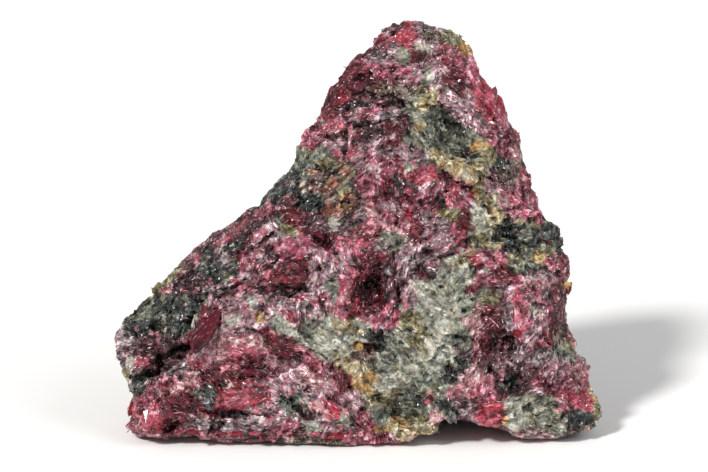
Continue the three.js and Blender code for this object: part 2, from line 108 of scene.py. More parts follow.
# Faces turned at least this far to the front get the finer net
FRONT_TURN = 0.1

# The outline of the broken face, clockwise from the top, as across and up
OUTLINE = (
    (4.3, 52.6), (5.3, 53.3), (8.5, 53.3), (9.2, 53.0), (10.7, 52.3), (11.7, 52.1), (12.8, 51.1),
    (13.9, 49.8), (14.2, 48.7), (15.2, 46.5), (15.9, 45.3), (16.8, 44.6), (17.7, 43.7), (18.0, 42.2),
    (18.3, 40.9), (19.7, 38.9), (19.6, 37.8), (20.2, 35.7), (21.0, 33.7), (20.9, 32.6), (21.7, 31.7),
    (21.9, 30.4), (22.9, 29.1), (24.3, 27.8), (24.4, 26.7), (25.0, 25.6), (25.6, 23.8), (25.7, 21.7),
    (25.1, 21.3), (25.9, 20.8), (25.3, 20.1), (25.1, 17.3), (25.6, 15.7), (27.0, 13.8), (26.7, 12.9),
    (27.9, 12.2), (28.4, 11.0), (28.6, 8.9), (29.1, 7.3), (29.8, 6.1), (30.0, 4.9), (29.3, 3.8),
    (28.4, 2.6), (27.1, 1.4), (23.0, 2.0), (18.0, 1.2), (9.0, 1.0), (3.6, 1.0), (-0.1, 0.0), (-3.2, 0.5),
    (-10.0, 1.1), (-15.3, 0.8), (-17.1, 0.4), (-20.1, 1.3), (-22.4, 1.1), (-23.0, 0.4), (-25.6, 0.8),
    (-27.0, 1.8), (-28.6, 3.5), (-27.4, 4.7), (-28.2, 5.5), (-27.4, 7.3), (-28.1, 8.6), (-28.7, 10.2),
    (-29.7, 13.4), (-30.0, 14.9), (-29.4, 16.2), (-28.4, 17.4), (-26.5, 18.9), (-25.7, 19.6),
    (-25.2, 20.5), (-23.8, 21.5), (-22.4, 22.2), (-22.1, 23.3), (-20.4, 24.8), (-18.9, 25.4),
    (-16.3, 27.5), (-14.9, 28.5), (-13.7, 29.9), (-12.0, 30.3), (-11.9, 31.1), (-10.6, 32.6),
    (-9.6, 33.2), (-8.2, 34.8), (-7.3, 36.0), (-7.1, 37.6), (-6.4, 39.6), (-5.2, 40.4), (-4.1, 42.7),
    (-3.4, 44.5), (-2.1, 46.3), (-0.9, 48.1), (0.6, 49.4), (1.9, 50.2), (2.3, 50.9), (3.2, 52.0),
)

# The notch under the right side of the face, from its right foot over the arch to its left foot
NOTCH = (
    (24.5, -8.0), (22.4, 1.9), (20.0, 2.2), (18.8, 3.2), (17.9, 4.0), (15.8, 3.6), (14.1, 4.3),
    (12.7, 5.0), (10.4, 4.9), (9.0, 4.2), (9.2, 3.4), (7.1, 2.7), (4.4, 1.5), (2.6, -8.0),
)

# Broad forms of the face: across, up, half sizes, turn in degrees, and how far each stands proud
FACE_FORMS = {
    "left lobe": (-26.2, 17.0, 6.2, 4.9, -24, -3.2),
    "groove below the lobe": (-23.2, 11.6, 5.0, 1.1, 31, -2.8),
    "blade beside the lobe": (-18.6, 16.6, 0.8, 4.2, -18, 1.3),
    "lower left mass": (-22.0, 6.0, 6.0, 3.4, 8, 1.1),
    "lilac crust": (-11.6, 16.2, 5.2, 3.1, 12, 1.2),
    "lower crust": (-4.6, 5.6, 3.2, 2.2, 0, 0.8),
    "shelf under the crust": (-11.0, 11.0, 5.5, 1.4, 10, -1.0),
    "raspberry shoulder": (-0.4, 24.6, 4.4, 2.4, 14, 1.2),
    "dark crystal hollow": (1.8, 19.9, 1.9, 2.1, 0, -2.4),
    "dark pit": (-22.8, 3.8, 1.3, 1.0, 20, -2.4),
    "trough": (11.3, 39.2, 2.2, 4.2, 24, -2.3),
    "lip of the trough": (11.8, 34.9, 4.4, 0.9, -31, 0.8),
    "upper left bench": (2.6, 43.4, 5.4, 1.5, -6, -1.3),
    "olive pit": (7.9, 44.6, 1.5, 1.4, 0, -1.1),
    "pale block": (8.8, 16.2, 4.0, 6.0, 0, 0.5),
    "dark seam left of the block": (2.6, 13.9, 1.8, 1.6, 0, -1.3),
    "dark hollow under the block": (5.8, 6.2, 3.0, 2.6, 12, -1.8),
    "dark seam right of the block": (17.4, 13.8, 2.2, 1.9, 0, -1.5),
    "speckled slope": (19.6, 26.6, 3.6, 2.8, -20, -1.2),
    "right column": (19.6, 18.4, 1.6, 3.6, 6, 1.0),
    "right flank": (26.5, 9.5, 2.4, 6.5, 8, -1.8),
    "small hollow": (8.6, 24.3, 1.6, 1.3, 0, -1.0),
    "red ledge": (-8.6, 20.0, 3.2, 1.1, 0, -1.0),
    "upper middle shoulder": (6.6, 33.6, 4.2, 2.6, 0, 0.8),
    "top knob": (6.4, 50.2, 2.6, 2.0, 0, 0.9),
}

# Narrow cracks and ledges, finer than the broad forms and given like them
CRACKS = (
    (-16.0, 5.4, 5.2, 0.6, -5, -1.1),
    (-12.8, 9.5, 2.6, 0.5, -6, -0.7),
    (-7.5, 6.2, 2.6, 0.5, -40, -0.8),
    (-3.9, 25.9, 2.2, 0.7, -38, -0.9),
    (-21.0, 21.4, 2.4, 0.6, 40, -0.7),
    (1.6, 40.4, 3.2, 0.55, 16, -0.8),
    (2.2, 46.0, 3.2, 0.5, -4, -0.6),
    (11.6, 25.2, 2.8, 0.5, 32, -0.7),
    (4.6, 31.0, 2.6, 0.5, -45, -0.7),
    (22.6, 22.6, 2.8, 0.5, -12, -0.7),
    (-10.6, 27.0, 3.0, 0.55, 35, -0.8),
)

# Where the outline stands further out, given like the forms
BULGES = (
    (-28.3, 17.5, 3.4, 2.4, 45, 1.35),
    (8.5, 53.0, 8.0, 3.5, 0, 0.6),
    (10.2, 52.6, 2.2, 1.4, -20, 0.5),
    (1.8, 50.6, 1.8, 1.4, 42, 0.25),
    (-14.0, 0.5, 14.0, 1.5, 0, 0.3),
)

# How far out, in half sizes, a form and a bulge are still full, and where each has run out
FORM_EDGE = (0.45, 1.25)
BULGE_EDGE = (0.5, 1.3)

# How far behind the face, and how low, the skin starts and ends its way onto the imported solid, and the
# longest way that a point goes there
SOLID_REACH = (1.2, 4.2)
SOLID_FOOT = (0.2, 1.6)
SOLID_PULL = 2.0

# Breaks that end the stone at the back: a point on each plane before the stone is centred, and its facing
BREAKS = (
    ((0, 25.6, 8), (0.02, 1, 0.1)),
    ((-17, 21.5, 8), (-0.62, 0.86, 0.12)),
    ((20, 20.5, 8), (0.66, 0.9, 0.1)),
    ((-3, 22.6, 35), (-0.42, 0.85, 0.3)),
    ((15, 22.8, 34), (0.55, 0.86, 0.22)),
    ((0, 25.2, 3.6), (0.1, 0.85, -0.52)),
    ((8, 20.2, 50.6), (0.1, 0.55, 0.84)),
    ((-30.2, 13, 13), (-0.9, 0.42, 0.12)),
    ((30.0, 12, 6), (0.88, 0.46, 0.1)),
)

# How each mineral looks: the colours of its pale threads and of its dark flecks, frost and soot for how
# much it has of each, busy for how much its grains differ, rough for its roughness, glass for its clear
# coat, tilt for how strongly its small facets lean, and broken for how rough its grains break
FINISHES = ("frost", "soot", "busy", "rough", "glass", "tilt", "broken")
MINERALS = {
    "raspberry": ((208, 138, 152), (32, 6, 11), 0.75, 0.16, 0.9, 0.36, 0.15, 0.45, 1.0),
    "deep_red": ((164, 88, 98), (26, 4, 8), 0.32, 0.14, 0.5, 0.24, 0.4, 0.35, 0.7),
    "bright_red": ((218, 132, 144), (66, 8, 18), 0.5, 0.08, 0.45, 0.22, 0.4, 0.35, 0.5),
    "hot_pink": ((232, 168, 182), (72, 16, 28), 0.7, 0.1, 0.8, 0.32, 0.2, 0.40, 0.8),
    "salmon": ((238, 206, 206), (84, 38, 44), 0.75, 0.12, 0.9, 0.32, 0.2, 0.35, 0.6),
    "lilac": ((228, 198, 206), (42, 20, 24), 0.8, 0.18, 0.7, 0.5, 0.05, 0.45, 0.8),
    "grey_lilac": ((206, 186, 188), (18, 11, 12), 0.8, 0.34, 1.0, 0.45, 0.1, 0.5, 1.0),
    "pale": ((226, 225, 210), (50, 50, 40), 0.48, 0.16, 0.55, 0.38, 0.2, 0.42, 0.6),
    "white": ((230, 228, 216), (82, 82, 72), 0.5, 0.12, 0.5, 0.4, 0.2, 0.42, 0.45),
    "grey_green": ((202, 202, 186), (24, 27, 21), 0.42, 0.32, 0.7, 0.34, 0.25, 0.45, 0.75),
    "dark_green": ((176, 182, 176), (5, 7, 6), 0.24, 0.5, 1.0, 0.22, 0.4, 0.55, 1.1),
    "dark_purple": ((164, 124, 130), (7, 3, 4), 0.42, 0.32, 1.0, 0.3, 0.25, 0.5, 1.0),
    "brown": ((186, 162, 148), (12, 7, 6), 0.6, 0.32, 1.0, 0.4, 0.15, 0.5, 1.1),
    "olive": ((192, 184, 152), (38, 36, 19), 0.5, 0.22, 0.7, 0.45, 0.1, 0.45, 0.9),
    "tan": ((218, 206, 172), (66, 54, 34), 0.65, 0.16, 0.7, 0.42, 0.15, 0.5, 0.9),
    "ochre": ((216, 190, 140), (72, 38, 13), 0.5, 0.16, 0.65, 0.35, 0.2, 0.45, 0.8),
    "orange_red": ((216, 170, 148), (36, 12, 9), 0.6, 0.3, 0.9, 0.3, 0.3, 0.45, 1.0),
    "clear_red": ((190, 84, 98), (64, 3, 12), 0.15, 0.04, 0.3, 0.16, 0.8, 0.14, 0.4),
    "clear_wine": ((164, 74, 90), (30, 4, 10), 0.12, 0.05, 0.25, 0.14, 0.9, 0.12, 0.4),
    "frosted_pink": ((230, 158, 172), (96, 20, 40), 0.5, 0.05, 0.6, 0.28, 0.4, 0.3, 0.6),
}
MINERAL_NAMES = tuple(MINERALS)

# Stray grains that each mineral holds: the stray mineral and its share
STRAYS = {
    "raspberry": (
        ("lilac", 0.20), ("deep_red", 0.13), ("hot_pink", 0.10), ("dark_purple", 0.10), ("pale", 0.04),
    ),
    "deep_red": (("dark_purple", 0.18), ("raspberry", 0.14), ("bright_red", 0.06)),
    "bright_red": (("deep_red", 0.12), ("hot_pink", 0.12)),
    "hot_pink": (("raspberry", 0.22), ("lilac", 0.16), ("bright_red", 0.06)),
    "salmon": (("hot_pink", 0.22), ("lilac", 0.12)),
    "lilac": (("raspberry", 0.18), ("grey_lilac", 0.16), ("hot_pink", 0.08), ("white", 0.10)),
    "grey_lilac": (("dark_purple", 0.20), ("lilac", 0.20), ("raspberry", 0.14), ("dark_green", 0.08)),
    "pale": (("white", 0.18), ("olive", 0.16), ("dark_green", 0.08)),
    "white": (("pale", 0.25),),
    "grey_green": (("pale", 0.20), ("dark_green", 0.20), ("olive", 0.10)),
    "dark_green": (("dark_purple", 0.14), ("pale", 0.10), ("olive", 0.06), ("grey_lilac", 0.10)),
    "dark_purple": (("deep_red", 0.20), ("grey_lilac", 0.16), ("raspberry", 0.12), ("dark_green", 0.08)),
    "brown": (("grey_lilac", 0.20), ("olive", 0.16), ("dark_purple", 0.16), ("orange_red", 0.06)),
    "olive": (("tan", 0.20), ("pale", 0.20), ("dark_green", 0.12)),
    "tan": (("pale", 0.24), ("ochre", 0.18), ("olive", 0.12), ("white", 0.08)),
    "ochre": (("tan", 0.25), ("orange_red", 0.14)),
    "orange_red": (("ochre", 0.22), ("deep_red", 0.22)),
}
STRAY_SHARE = 0.35

# Patches of mineral on the face: across, up, half sizes and turn in degrees. Small ones lie over big ones.
PATCHES = {
    "bright_red": (
        (5.8, 51.6, 1.1, 1.3, 10), (16.0, 43.3, 1.5, 1.9, 15), (7.7, 34.5, 1.0, 0.8, 0),
        (6.1, 29.3, 0.6, 0.6, 0), (16.3, 5.2, 1.2, 1.2, 0), (26.4, 7.2, 1.7, 0.9, -28),
        (19.3, 15.2, 0.7, 0.6, 0), (-27.6, 5.7, 0.5, 1.1, 10), (-1.8, 43.9, 0.7, 0.8, -20),
        (11.4, 31.9, 0.8, 0.6, 0), (14.4, 24.0, 0.7, 0.6, 0), (-14.6, 6.9, 2.3, 1.0, 3),
        (-3.0, 5.9, 0.7, 1.3, 0), (-24.6, 4.2, 1.3, 1.0, 0),
    ),
    "deep_red": (
        (-0.4, 45.3, 2.3, 1.1, 20), (7.3, 48.8, 0.9, 0.9, 0), (12.0, 45.4, 1.6, 1.4, 0),
        (4.3, 39.5, 1.6, 1.2, 30), (3.6, 32.4, 1.2, 1.1, 0), (5.6, 31.4, 1.0, 0.5, 10),
        (-7.9, 29.4, 1.7, 1.0, 0), (-4.5, 26.8, 2.1, 1.1, -35), (1.2, 19.4, 1.8, 1.8, 0),
        (1.6, 22.4, 2.2, 1.3, 30), (-8.9, 21.9, 2.6, 1.4, 18), (23.9, 20.0, 1.1, 1.2, 0),
        (24.0, 17.4, 0.7, 1.4, 0), (16.4, 16.4, 1.3, 1.3, 0), (-9.3, 13.3, 2.3, 1.0, -38),
        (-12.8, 10.2, 2.4, 0.9, -6), (-13.6, 11.7, 1.2, 0.6, 0), (-21.8, 6.9, 2.8, 1.1, -20),
        (-1.6, 9.0, 0.8, 1.1, 30), (-13.9, 25.6, 1.6, 1.1, 20), (-12.0, 1.4, 3.0, 0.45, 2),
        (12.9, 27.8, 0.9, 1.8, -15), (1.8, 24.0, 1.6, 0.6, 12), (-0.4, 47.6, 0.9, 1.3, -25),
        (-22.6, 4.0, 1.9, 1.3, 0), (22.6, 14.2, 1.5, 0.7, 20), (17.4, 22.1, 1.3, 1.0, 0),
        (13.6, 20.4, 0.8, 0.5, 0), (-3.4, 42.6, 0.7, 1.2, -25), (-18.6, 15.4, 3.3, 1.3, 60),
        (-6.2, 24.0, 1.3, 0.4, 25), (-17.4, 9.8, 2.4, 0.5, -6), (7.2, 27.6, 0.9, 1.1, 0),
        (-18.4, 5.3, 2.2, 0.4, -12), (15.6, 13.4, 0.7, 1.4, 0), (18.7, 38.8, 0.5, 1.2, 30),
        (-3.2, 2.6, 1.5, 0.5, 6), (14.7, 7.0, 0.9, 0.5, 0),
    ),
    "raspberry": (
        (2.9, 50.4, 1.3, 0.9, 30), (10.9, 48.6, 1.5, 1.2, 0), (0.6, 41.7, 1.8, 0.6, 8),
        (-5.8, 38.5, 1.1, 1.2, 0), (-4.2, 40.4, 1.0, 1.1, 0), (17.9, 39.2, 1.4, 2.2, 25),
        (11.6, 32.2, 1.7, 1.4, 0), (12.2, 26.8, 1.1, 1.0, -15), (0.4, 27.4, 1.9, 0.8, 5),
        (15.6, 23.0, 2.3, 1.8, 0), (24.3, 23.4, 1.1, 1.4, 0), (20.5, 20.0, 1.3, 0.9, 0),
        (-26.4, 11.3, 1.5, 0.7, -8), (-19.8, 24.2, 0.8, 0.6, 0), (-19.2, 10.8, 2.2, 1.2, 15),
        (-25.6, 4.2, 2.1, 1.8, 0), (-27.4, 3.6, 1.0, 0.7, 0), (-20.3, 1.7, 3.2, 0.7, 4),
        (-4.2, 10.8, 1.8, 0.9, -25), (-3.1, 7.0, 1.0, 1.0, 0), (0.4, 4.4, 1.2, 0.9, 0),
        (23.3, 8.4, 1.7, 1.0, 0), (26.5, 8.7, 1.3, 1.1, 0), (26.5, 14.1, 0.7, 0.6, 0),
        (8.6, 6.9, 0.6, 0.9, 0), (-8.6, 3.7, 1.5, 0.8, 0), (-4.2, 19.2, 1.0, 0.7, 0),
        (-8.7, 17.4, 0.9, 0.7, 0), (20.4, 33.0, 0.9, 1.7, 12), (3.5, 2.3, 0.9, 0.6, 0),
        (5.0, 28.6, 1.4, 1.4, 0), (-16.2, 11.4, 1.5, 1.0, 0), (-23.6, 8.4, 2.0, 0.8, 38),
        (-14.2, 20.7, 1.3, 0.9, 0), (-11.9, 8.4, 1.3, 0.6, 0), (3.1, 47.4, 2.2, 1.1, 0),
        (-1.2, 39.6, 1.4, 0.7, 0), (1.0, 33.4, 1.6, 1.3, 0), (4.0, 35.8, 1.3, 0.7, 0),
        (-0.6, 36.9, 1.8, 1.0, 0), (-15.4, 27.0, 2.2, 0.8, 38), (-12.9, 23.4, 1.6, 1.0, 20),
        (-11.4, 30.0, 1.3, 0.8, 30), (9.3, 31.2, 1.4, 1.0, 0), (21.6, 29.3, 0.9, 1.0, -40),
        (-18.8, 3.0, 2.2, 0.5, -4), (-15.4, 1.6, 2.2, 0.5, 0), (14.3, 13.4, 0.5, 1.6, 0),
        (-6.9, 19.4, 1.0, 0.5, 0), (23.4, 18.4, 0.8, 1.4, 0),
    ),
    "hot_pink": (
        (5.4, 46.8, 0.6, 0.5, 0), (13.9, 47.0, 1.1, 1.7, 20), (-1.7, 21.6, 0.9, 3.4, -4),
        (2.9, 16.6, 2.4, 0.8, 12), (20.0, 30.8, 1.6, 1.6, 0), (-8.3, 25.3, 2.6, 1.1, 12),
        (19.3, 17.6, 0.9, 3.0, 4), (-12.4, 12.7, 1.6, 0.6, -30), (-0.6, 2.2, 1.8, 0.5, 0),
        (3.6, 29.0, 1.4, 0.6, -38), (-1.3, 25.8, 2.2, 0.8, 12), (17.4, 41.2, 0.5, 1.6, 30),
        (-15.2, 12.8, 1.6, 0.7, 10), (-6.6, 12.4, 1.5, 0.7, -25), (24.9, 6.5, 1.0, 0.7, -20),
        (18.6, 31.2, 0.9, 0.7, 0), (14.7, 8.4, 1.8, 0.9, 0), (-25.2, 5.6, 1.1, 0.6, 20),
        (-9.6, 24.2, 1.4, 0.5, 20), (11.6, 30.6, 0.8, 0.5, 0),
    ),
    "salmon": (
        (14.5, 9.8, 1.8, 1.5, 0), (-19.8, 24.4, 0.5, 0.4, 0), (-23.4, 20.3, 0.9, 0.6, 10),
        (-17.2, 12.4, 1.6, 0.6, 20), (13.7, 16.6, 0.8, 1.8, 8), (-12.8, 14.0, 2.2, 0.8, -15),
        (3.4, 28.6, 2.4, 0.6, -38), (-7.6, 10.6, 1.8, 0.9, -30), (-4.6, 9.0, 1.8, 0.9, -35),
        (19.4, 37.4, 0.7, 1.0, 30), (17.3, 31.6, 1.4, 1.2, -30), (26.9, 10.3, 1.2, 0.6, 0),
        (11.8, 7.8, 1.3, 0.6, 0), (9.2, 5.1, 0.8, 0.7, 0), (-6.0, 6.4, 1.6, 0.8, -20),
        (-21.0, 9.2, 2.0, 0.5, 32), (-17.4, 13.7, 1.8, 0.9, 25), (-10.4, 11.6, 1.2, 0.5, -30),
        (22.0, 21.0, 2.4, 0.5, 10),
    ),
    "lilac": (
        (8.8, 47.4, 2.0, 2.3, -20), (13.0, 42.3, 1.6, 2.6, 40), (5.4, 36.8, 2.4, 0.8, 0),
        (1.6, 35.0, 1.6, 0.8, 0), (10.4, 25.4, 3.2, 0.8, 14), (8.9, 27.0, 1.6, 1.0, 0),
        (-14.9, 17.4, 3.4, 2.4, 15), (-10.0, 18.2, 2.2, 1.4, 0), (-9.6, 8.6, 2.2, 0.9, -14),
        (-11.4, 5.4, 2.2, 1.0, -8), (-6.2, 8.4, 2.0, 1.1, -30), (-1.2, 6.8, 1.0, 1.4, -30),
        (20.6, 3.0, 2.2, 0.5, -8), (7.4, 35.9, 0.9, 0.5, 10), (-2.0, 23.6, 1.2, 1.0, 0),
        (2.4, 38.2, 2.0, 0.5, 25), (-2.6, 38.0, 1.2, 0.7, 0), (18.0, 19.4, 0.8, 1.8, 0),
        (4.4, 30.6, 1.2, 0.6, 0), (-19.4, 12.6, 0.5, 1.4, -35), (16.0, 33.0, 0.9, 0.9, 0),
        (5.6, 24.0, 0.8, 2.2, 0), (-5.0, 22.0, 1.6, 3.0, 0), (21.6, 17.6, 1.0, 1.6, 30),
        (24.2, 11.2, 1.6, 0.9, 20), (-6.2, 18.0, 1.6, 1.0, 0), (10.6, 43.6, 1.0, 1.0, 0),
        (6.4, 19.0, 0.9, 1.6, 20), (21.9, 8.0, 1.0, 0.6, 0), (-3.6, 4.0, 1.4, 0.7, -20),
        (-13.2, 21.8, 1.4, 0.6, 20), (20.9, 14.8, 0.9, 1.2, 0), (-12.0, 26.4, 1.6, 0.6, 38),
        (-8.4, 9.4, 1.2, 0.5, -10),
    ),
    "grey_lilac": (
        (-10.9, 24.0, 1.2, 0.9, 0), (-7.0, 18.6, 1.4, 1.0, 0), (7.9, 22.9, 1.7, 1.5, 0),
        (-16.9, 4.1, 3.2, 0.9, 4), (21.3, 12.4, 1.8, 1.0, 0), (27.5, 12.0, 0.9, 0.8, 0),
        (-28.7, 13.6, 1.0, 1.9, 5), (-19.5, 4.1, 1.4, 0.6, -10), (-2.4, 28.2, 1.8, 1.2, 0),
        (-10.0, 27.4, 1.3, 1.0, 0), (-6.0, 5.0, 1.4, 0.6, 0), (-1.2, 3.9, 1.0, 1.0, 30),
        (-17.0, 20.6, 1.6, 0.5, 10), (8.9, 28.8, 1.4, 1.0, 0), (-16.6, 24.6, 1.8, 0.9, 30),
        (4.2, 41.6, 2.2, 0.8, 8), (3.2, 48.8, 1.6, 0.8, 20), (8.6, 51.9, 2.4, 0.8, 0),
        (22.6, 22.4, 1.6, 0.5, 0), (18.2, 17.2, 0.6, 1.6, 0), (3.0, 25.6, 1.0, 0.6, 0),
        (-22.2, 10.0, 2.4, 0.7, 36), (13.6, 6.2, 1.0, 0.6, 0), (-27.9, 10.9, 0.8, 0.6, 0),
        (-13.6, 4.2, 1.2, 0.6, 0),
    ),
    "pale": (
        (5.6, 48.6, 0.6, 1.1, 10), (6.2, 41.3, 0.9, 1.6, 0), (14.8, 27.8, 1.6, 2.1, -10),
        (12.3, 22.0, 2.1, 1.6, 35), (9.6, 17.8, 3.0, 3.0, 0), (8.6, 13.6, 2.9, 2.8, 0),
        (-3.2, 14.1, 2.6, 1.9, 0), (-5.2, 15.0, 1.2, 1.0, 0), (4.4, 9.0, 2.2, 1.2, 0),
        (20.9, 5.6, 2.4, 1.8, 0), (22.6, 3.9, 2.6, 0.9, 0), (11.6, 19.8, 1.8, 1.4, 0),
        (15.4, 30.4, 0.9, 1.3, 10), (7.2, 38.4, 1.3, 0.7, -20), (9.0, 21.0, 2.0, 1.6, 0),
        (11.6, 16.0, 1.2, 2.2, 0), (6.4, 11.6, 2.0, 1.2, 0), (25.3, 12.6, 1.2, 0.9, 0),
        (-4.2, 12.6, 1.2, 0.7, 0), (3.6, 26.6, 0.9, 0.6, 0), (0.8, 16.0, 1.0, 0.6, 0),
        (13.0, 18.4, 0.8, 1.2, 0),
    ),
    "white": (
        (21.0, 23.3, 0.6, 0.4, -25), (-9.6, 16.6, 0.6, 1.2, 35), (-19.9, 16.4, 0.22, 1.0, -16),
        (-28.0, 11.4, 0.6, 0.5, 0), (9.6, 18.4, 1.9, 1.3, -35), (9.2, 13.8, 1.2, 1.8, 35),
        (10.6, 12.4, 1.2, 0.9, 20), (-2.9, 14.0, 1.3, 1.0, 0), (4.6, 9.6, 0.9, 0.5, 0),
        (-5.9, 4.0, 1.0, 0.5, -20), (-3.0, 28.4, 0.6, 0.9, 20), (19.4, 4.0, 1.1, 0.6, 0),
        (8.6, 46.4, 0.7, 1.2, -20), (21.4, 17.6, 0.35, 0.8, 30), (-1.6, 4.4, 0.5, 0.8, 20),
        (6.6, 35.2, 0.8, 0.4, 20), (8.0, 49.6, 1.0, 0.4, 0), (-12.6, 18.9, 0.8, 0.5, 0),
        (-14.8, 16.6, 1.0, 0.5, 20), (-6.9, 7.4, 1.0, 0.4, -40),
    ),
    "grey_green": (
        (10.4, 39.4, 3.3, 2.5, -35), (-26.0, 17.2, 1.5, 1.1, 20), (8.0, 8.6, 2.8, 1.6, 0),
        (3.9, 12.6, 2.2, 1.7, -20), (6.7, 6.6, 2.6, 1.4, 0), (12.6, 14.2, 0.9, 1.4, 0),
        (20.4, 24.3, 1.6, 1.2, 0), (-7.0, 35.0, 1.6, 1.2, 30), (20.4, 27.0, 0.9, 0.7, 0),
        (4.4, 26.2, 1.3, 0.9, 0), (-5.4, 36.6, 1.8, 1.0, 10), (6.4, 43.0, 0.9, 1.2, 0),
        (23.0, 6.8, 1.2, 0.7, 0), (-7.9, 6.0, 1.2, 0.8, -20), (14.2, 20.0, 1.2, 0.5, 0),
        (2.6, 5.2, 0.9, 0.9, 0), (-3.0, 20.6, 0.8, 1.4, 0),
    ),
    "dark_green": (
        (-24.4, 17.3, 4.6, 2.8, 14), (-27.2, 15.4, 2.2, 1.4, 30), (-22.4, 16.8, 2.2, 1.6, 0),
        (19.2, 26.6, 2.5, 1.6, 0), (23.3, 27.3, 1.1, 1.8, -35), (2.2, 14.8, 1.3, 0.7, 0),
        (12.2, 11.4, 1.3, 1.0, 0), (-27.2, 9.1, 1.5, 0.9, 30), (-18.5, 24.4, 1.1, 0.9, 0),
        (-17.4, 22.4, 2.6, 1.7, 10), (-21.0, 19.2, 2.2, 0.9, 20), (-9.5, 28.5, 0.7, 0.6, 0),
        (26.4, 4.6, 1.5, 1.0, 0), (-6.5, 31.4, 2.3, 1.3, 0), (-11.0, 30.9, 1.8, 0.7, 30),
        (13.3, 37.0, 0.9, 0.7, 0), (18.5, 9.0, 1.0, 0.8, 0), (16.9, 35.8, 1.4, 0.6, -20),
        (-8.6, 33.4, 1.6, 0.9, 40), (-15.0, 26.0, 1.6, 0.6, 35), (24.6, 25.6, 0.7, 1.2, -20),
        (10.9, 6.2, 1.2, 0.8, 0), (10.4, 9.8, 1.0, 0.6, 0), (-18.3, 7.3, 1.1, 0.8, 0),
        (-7.8, 6.6, 1.7, 0.6, -40),
    ),
    "dark_purple": (
        (2.2, 39.6, 3.1, 1.6, 12), (4.3, 20.8, 1.0, 1.6, 0), (12.0, 12.4, 1.3, 1.2, 0),
        (15.8, 11.4, 1.2, 1.4, 0), (-24.6, 13.6, 3.0, 1.4, 4), (-21.0, 21.8, 2.2, 1.8, 20),
        (-19.4, 20.4, 2.2, 0.8, 10), (-17.6, 26.2, 2.6, 1.0, 34), (-24.0, 1.6, 2.0, 0.5, 10),
        (21.8, 13.8, 1.7, 1.0, 0), (10.0, 31.0, 0.9, 0.7, 0), (-9.2, 20.3, 2.6, 0.7, -4),
        (-13.2, 28.5, 1.8, 1.2, 38), (7.9, 22.0, 1.2, 0.8, 0), (-4.9, 28.3, 1.8, 1.0, -30),
        (19.6, 10.8, 1.4, 1.0, 0), (18.4, 8.8, 1.7, 1.3, 0), (4.4, 52.2, 1.0, 0.6, 30),
        (2.6, 43.6, 3.4, 1.0, -2), (17.0, 13.6, 1.4, 2.0, 0), (3.3, 23.1, 0.9, 1.0, 0),
        (5.6, 40.8, 0.9, 1.4, 0), (-16.0, 20.2, 1.4, 0.6, 10), (-11.4, 25.4, 1.2, 0.7, 20),
        # (-22.6, 11.6) and (-15.4, 5.3) are thin dark lines along the groove below the lobe and the seam
        # under the plate: painted shadow in those recesses
        (-22.6, 11.6, 2.8, 0.5, 36), (-8.6, 31.0, 1.8, 0.9, 30), (-15.4, 5.3, 2.8, 0.35, -6),
        (12.6, 6.4, 0.8, 0.5, 0), (22.8, 19.6, 0.6, 0.8, 0), (4.6, 33.6, 0.6, 0.6, 0),
        (2.0, 49.2, 1.0, 0.5, 30), (5.2, 31.4, 0.9, 0.6, 0),
    ),
    "brown": (
        (3.6, 44.4, 2.6, 0.7, -5), (17.8, 34.3, 1.8, 1.5, 20), (-2.7, 33.6, 2.8, 2.4, 0),
        (0.8, 12.4, 1.1, 0.9, 0), (-6.2, 1.6, 3.4, 0.6, 2), (9.2, 51.4, 1.4, 0.6, 0),
        (-5.4, 33.0, 1.8, 1.1, 0), (1.4, 13.8, 0.9, 0.6, 0), (27.0, 2.5, 1.6, 0.6, 0),
        (24.6, 14.6, 0.9, 0.6, 0), (-22.0, 23.0, 0.8, 0.8, 0),
    ),
    "olive": (
        (11.6, 51.2, 1.3, 1.2, -30), (7.8, 44.9, 0.6, 0.5, 0), (10.8, 29.8, 1.0, 0.8, 0),
        (15.9, 36.4, 0.8, 1.0, -20), (6.4, 16.6, 1.2, 1.2, 0), (-24.6, 20.6, 2.0, 0.8, 25),
        (-22.4, 22.6, 0.5, 1.0, -20), (-28.5, 10.1, 0.6, 0.8, 0), (29.4, 6.0, 0.5, 1.7, 10),
        (3.4, 7.0, 1.3, 1.0, 0), (7.2, 14.4, 1.1, 1.6, 30), (-8.2, 27.5, 0.7, 0.5, 0),
        (22.9, 25.1, 1.4, 0.5, 8), (15.8, 19.5, 1.6, 0.5, 0), (-1.6, 32.6, 1.0, 1.2, 30),
        (14.6, 26.2, 1.0, 0.8, 0), (-3.8, 35.6, 1.6, 0.7, 0), (19.0, 23.9, 0.7, 1.0, 0),
        (6.9, 4.6, 1.6, 0.6, 0),
    ),
    "tan": (
        (8.2, 43.4, 1.1, 1.4, -15), (7.5, 40.2, 0.7, 0.9, 0), (12.2, 35.3, 3.8, 0.8, -31),
        (15.1, 33.5, 1.5, 1.0, -30), (12.6, 24.0, 1.8, 0.5, 35), (16.3, 29.3, 1.0, 1.5, -10),
        (-1.4, 15.7, 1.7, 0.7, 0), (-1.8, 11.8, 1.6, 0.7, -35), (6.3, 3.4, 1.7, 0.6, 8),
        (20.5, 28.4, 1.3, 0.3, -8), (4.0, 7.8, 0.7, 0.8, 0), (-0.2, 10.6, 1.0, 0.8, 0),
        (16.0, 25.8, 1.5, 0.6, 0), (9.4, 36.6, 1.0, 0.5, -30), (26.0, 13.4, 0.6, 0.6, 0),
        (15.8, 31.2, 1.1, 1.0, 0), (28.9, 8.2, 0.5, 1.0, 0), (-11.9, 17.1, 0.7, 0.6, 0),
    ),
    "ochre": (
        (14.3, 37.7, 0.8, 0.5, 0), (13.2, 49.9, 0.9, 0.8, -40), (21.8, 24.3, 0.7, 0.6, 0),
        (0.9, 9.2, 1.3, 0.9, -15), (17.9, 4.6, 0.4, 0.6, 0), (4.9, 4.3, 0.8, 0.45, 0),
        (25.6, 20.9, 0.5, 0.35, 0), (-0.1, 13.6, 0.5, 0.5, 0), (16.1, 30.2, 0.4, 0.8, -10),
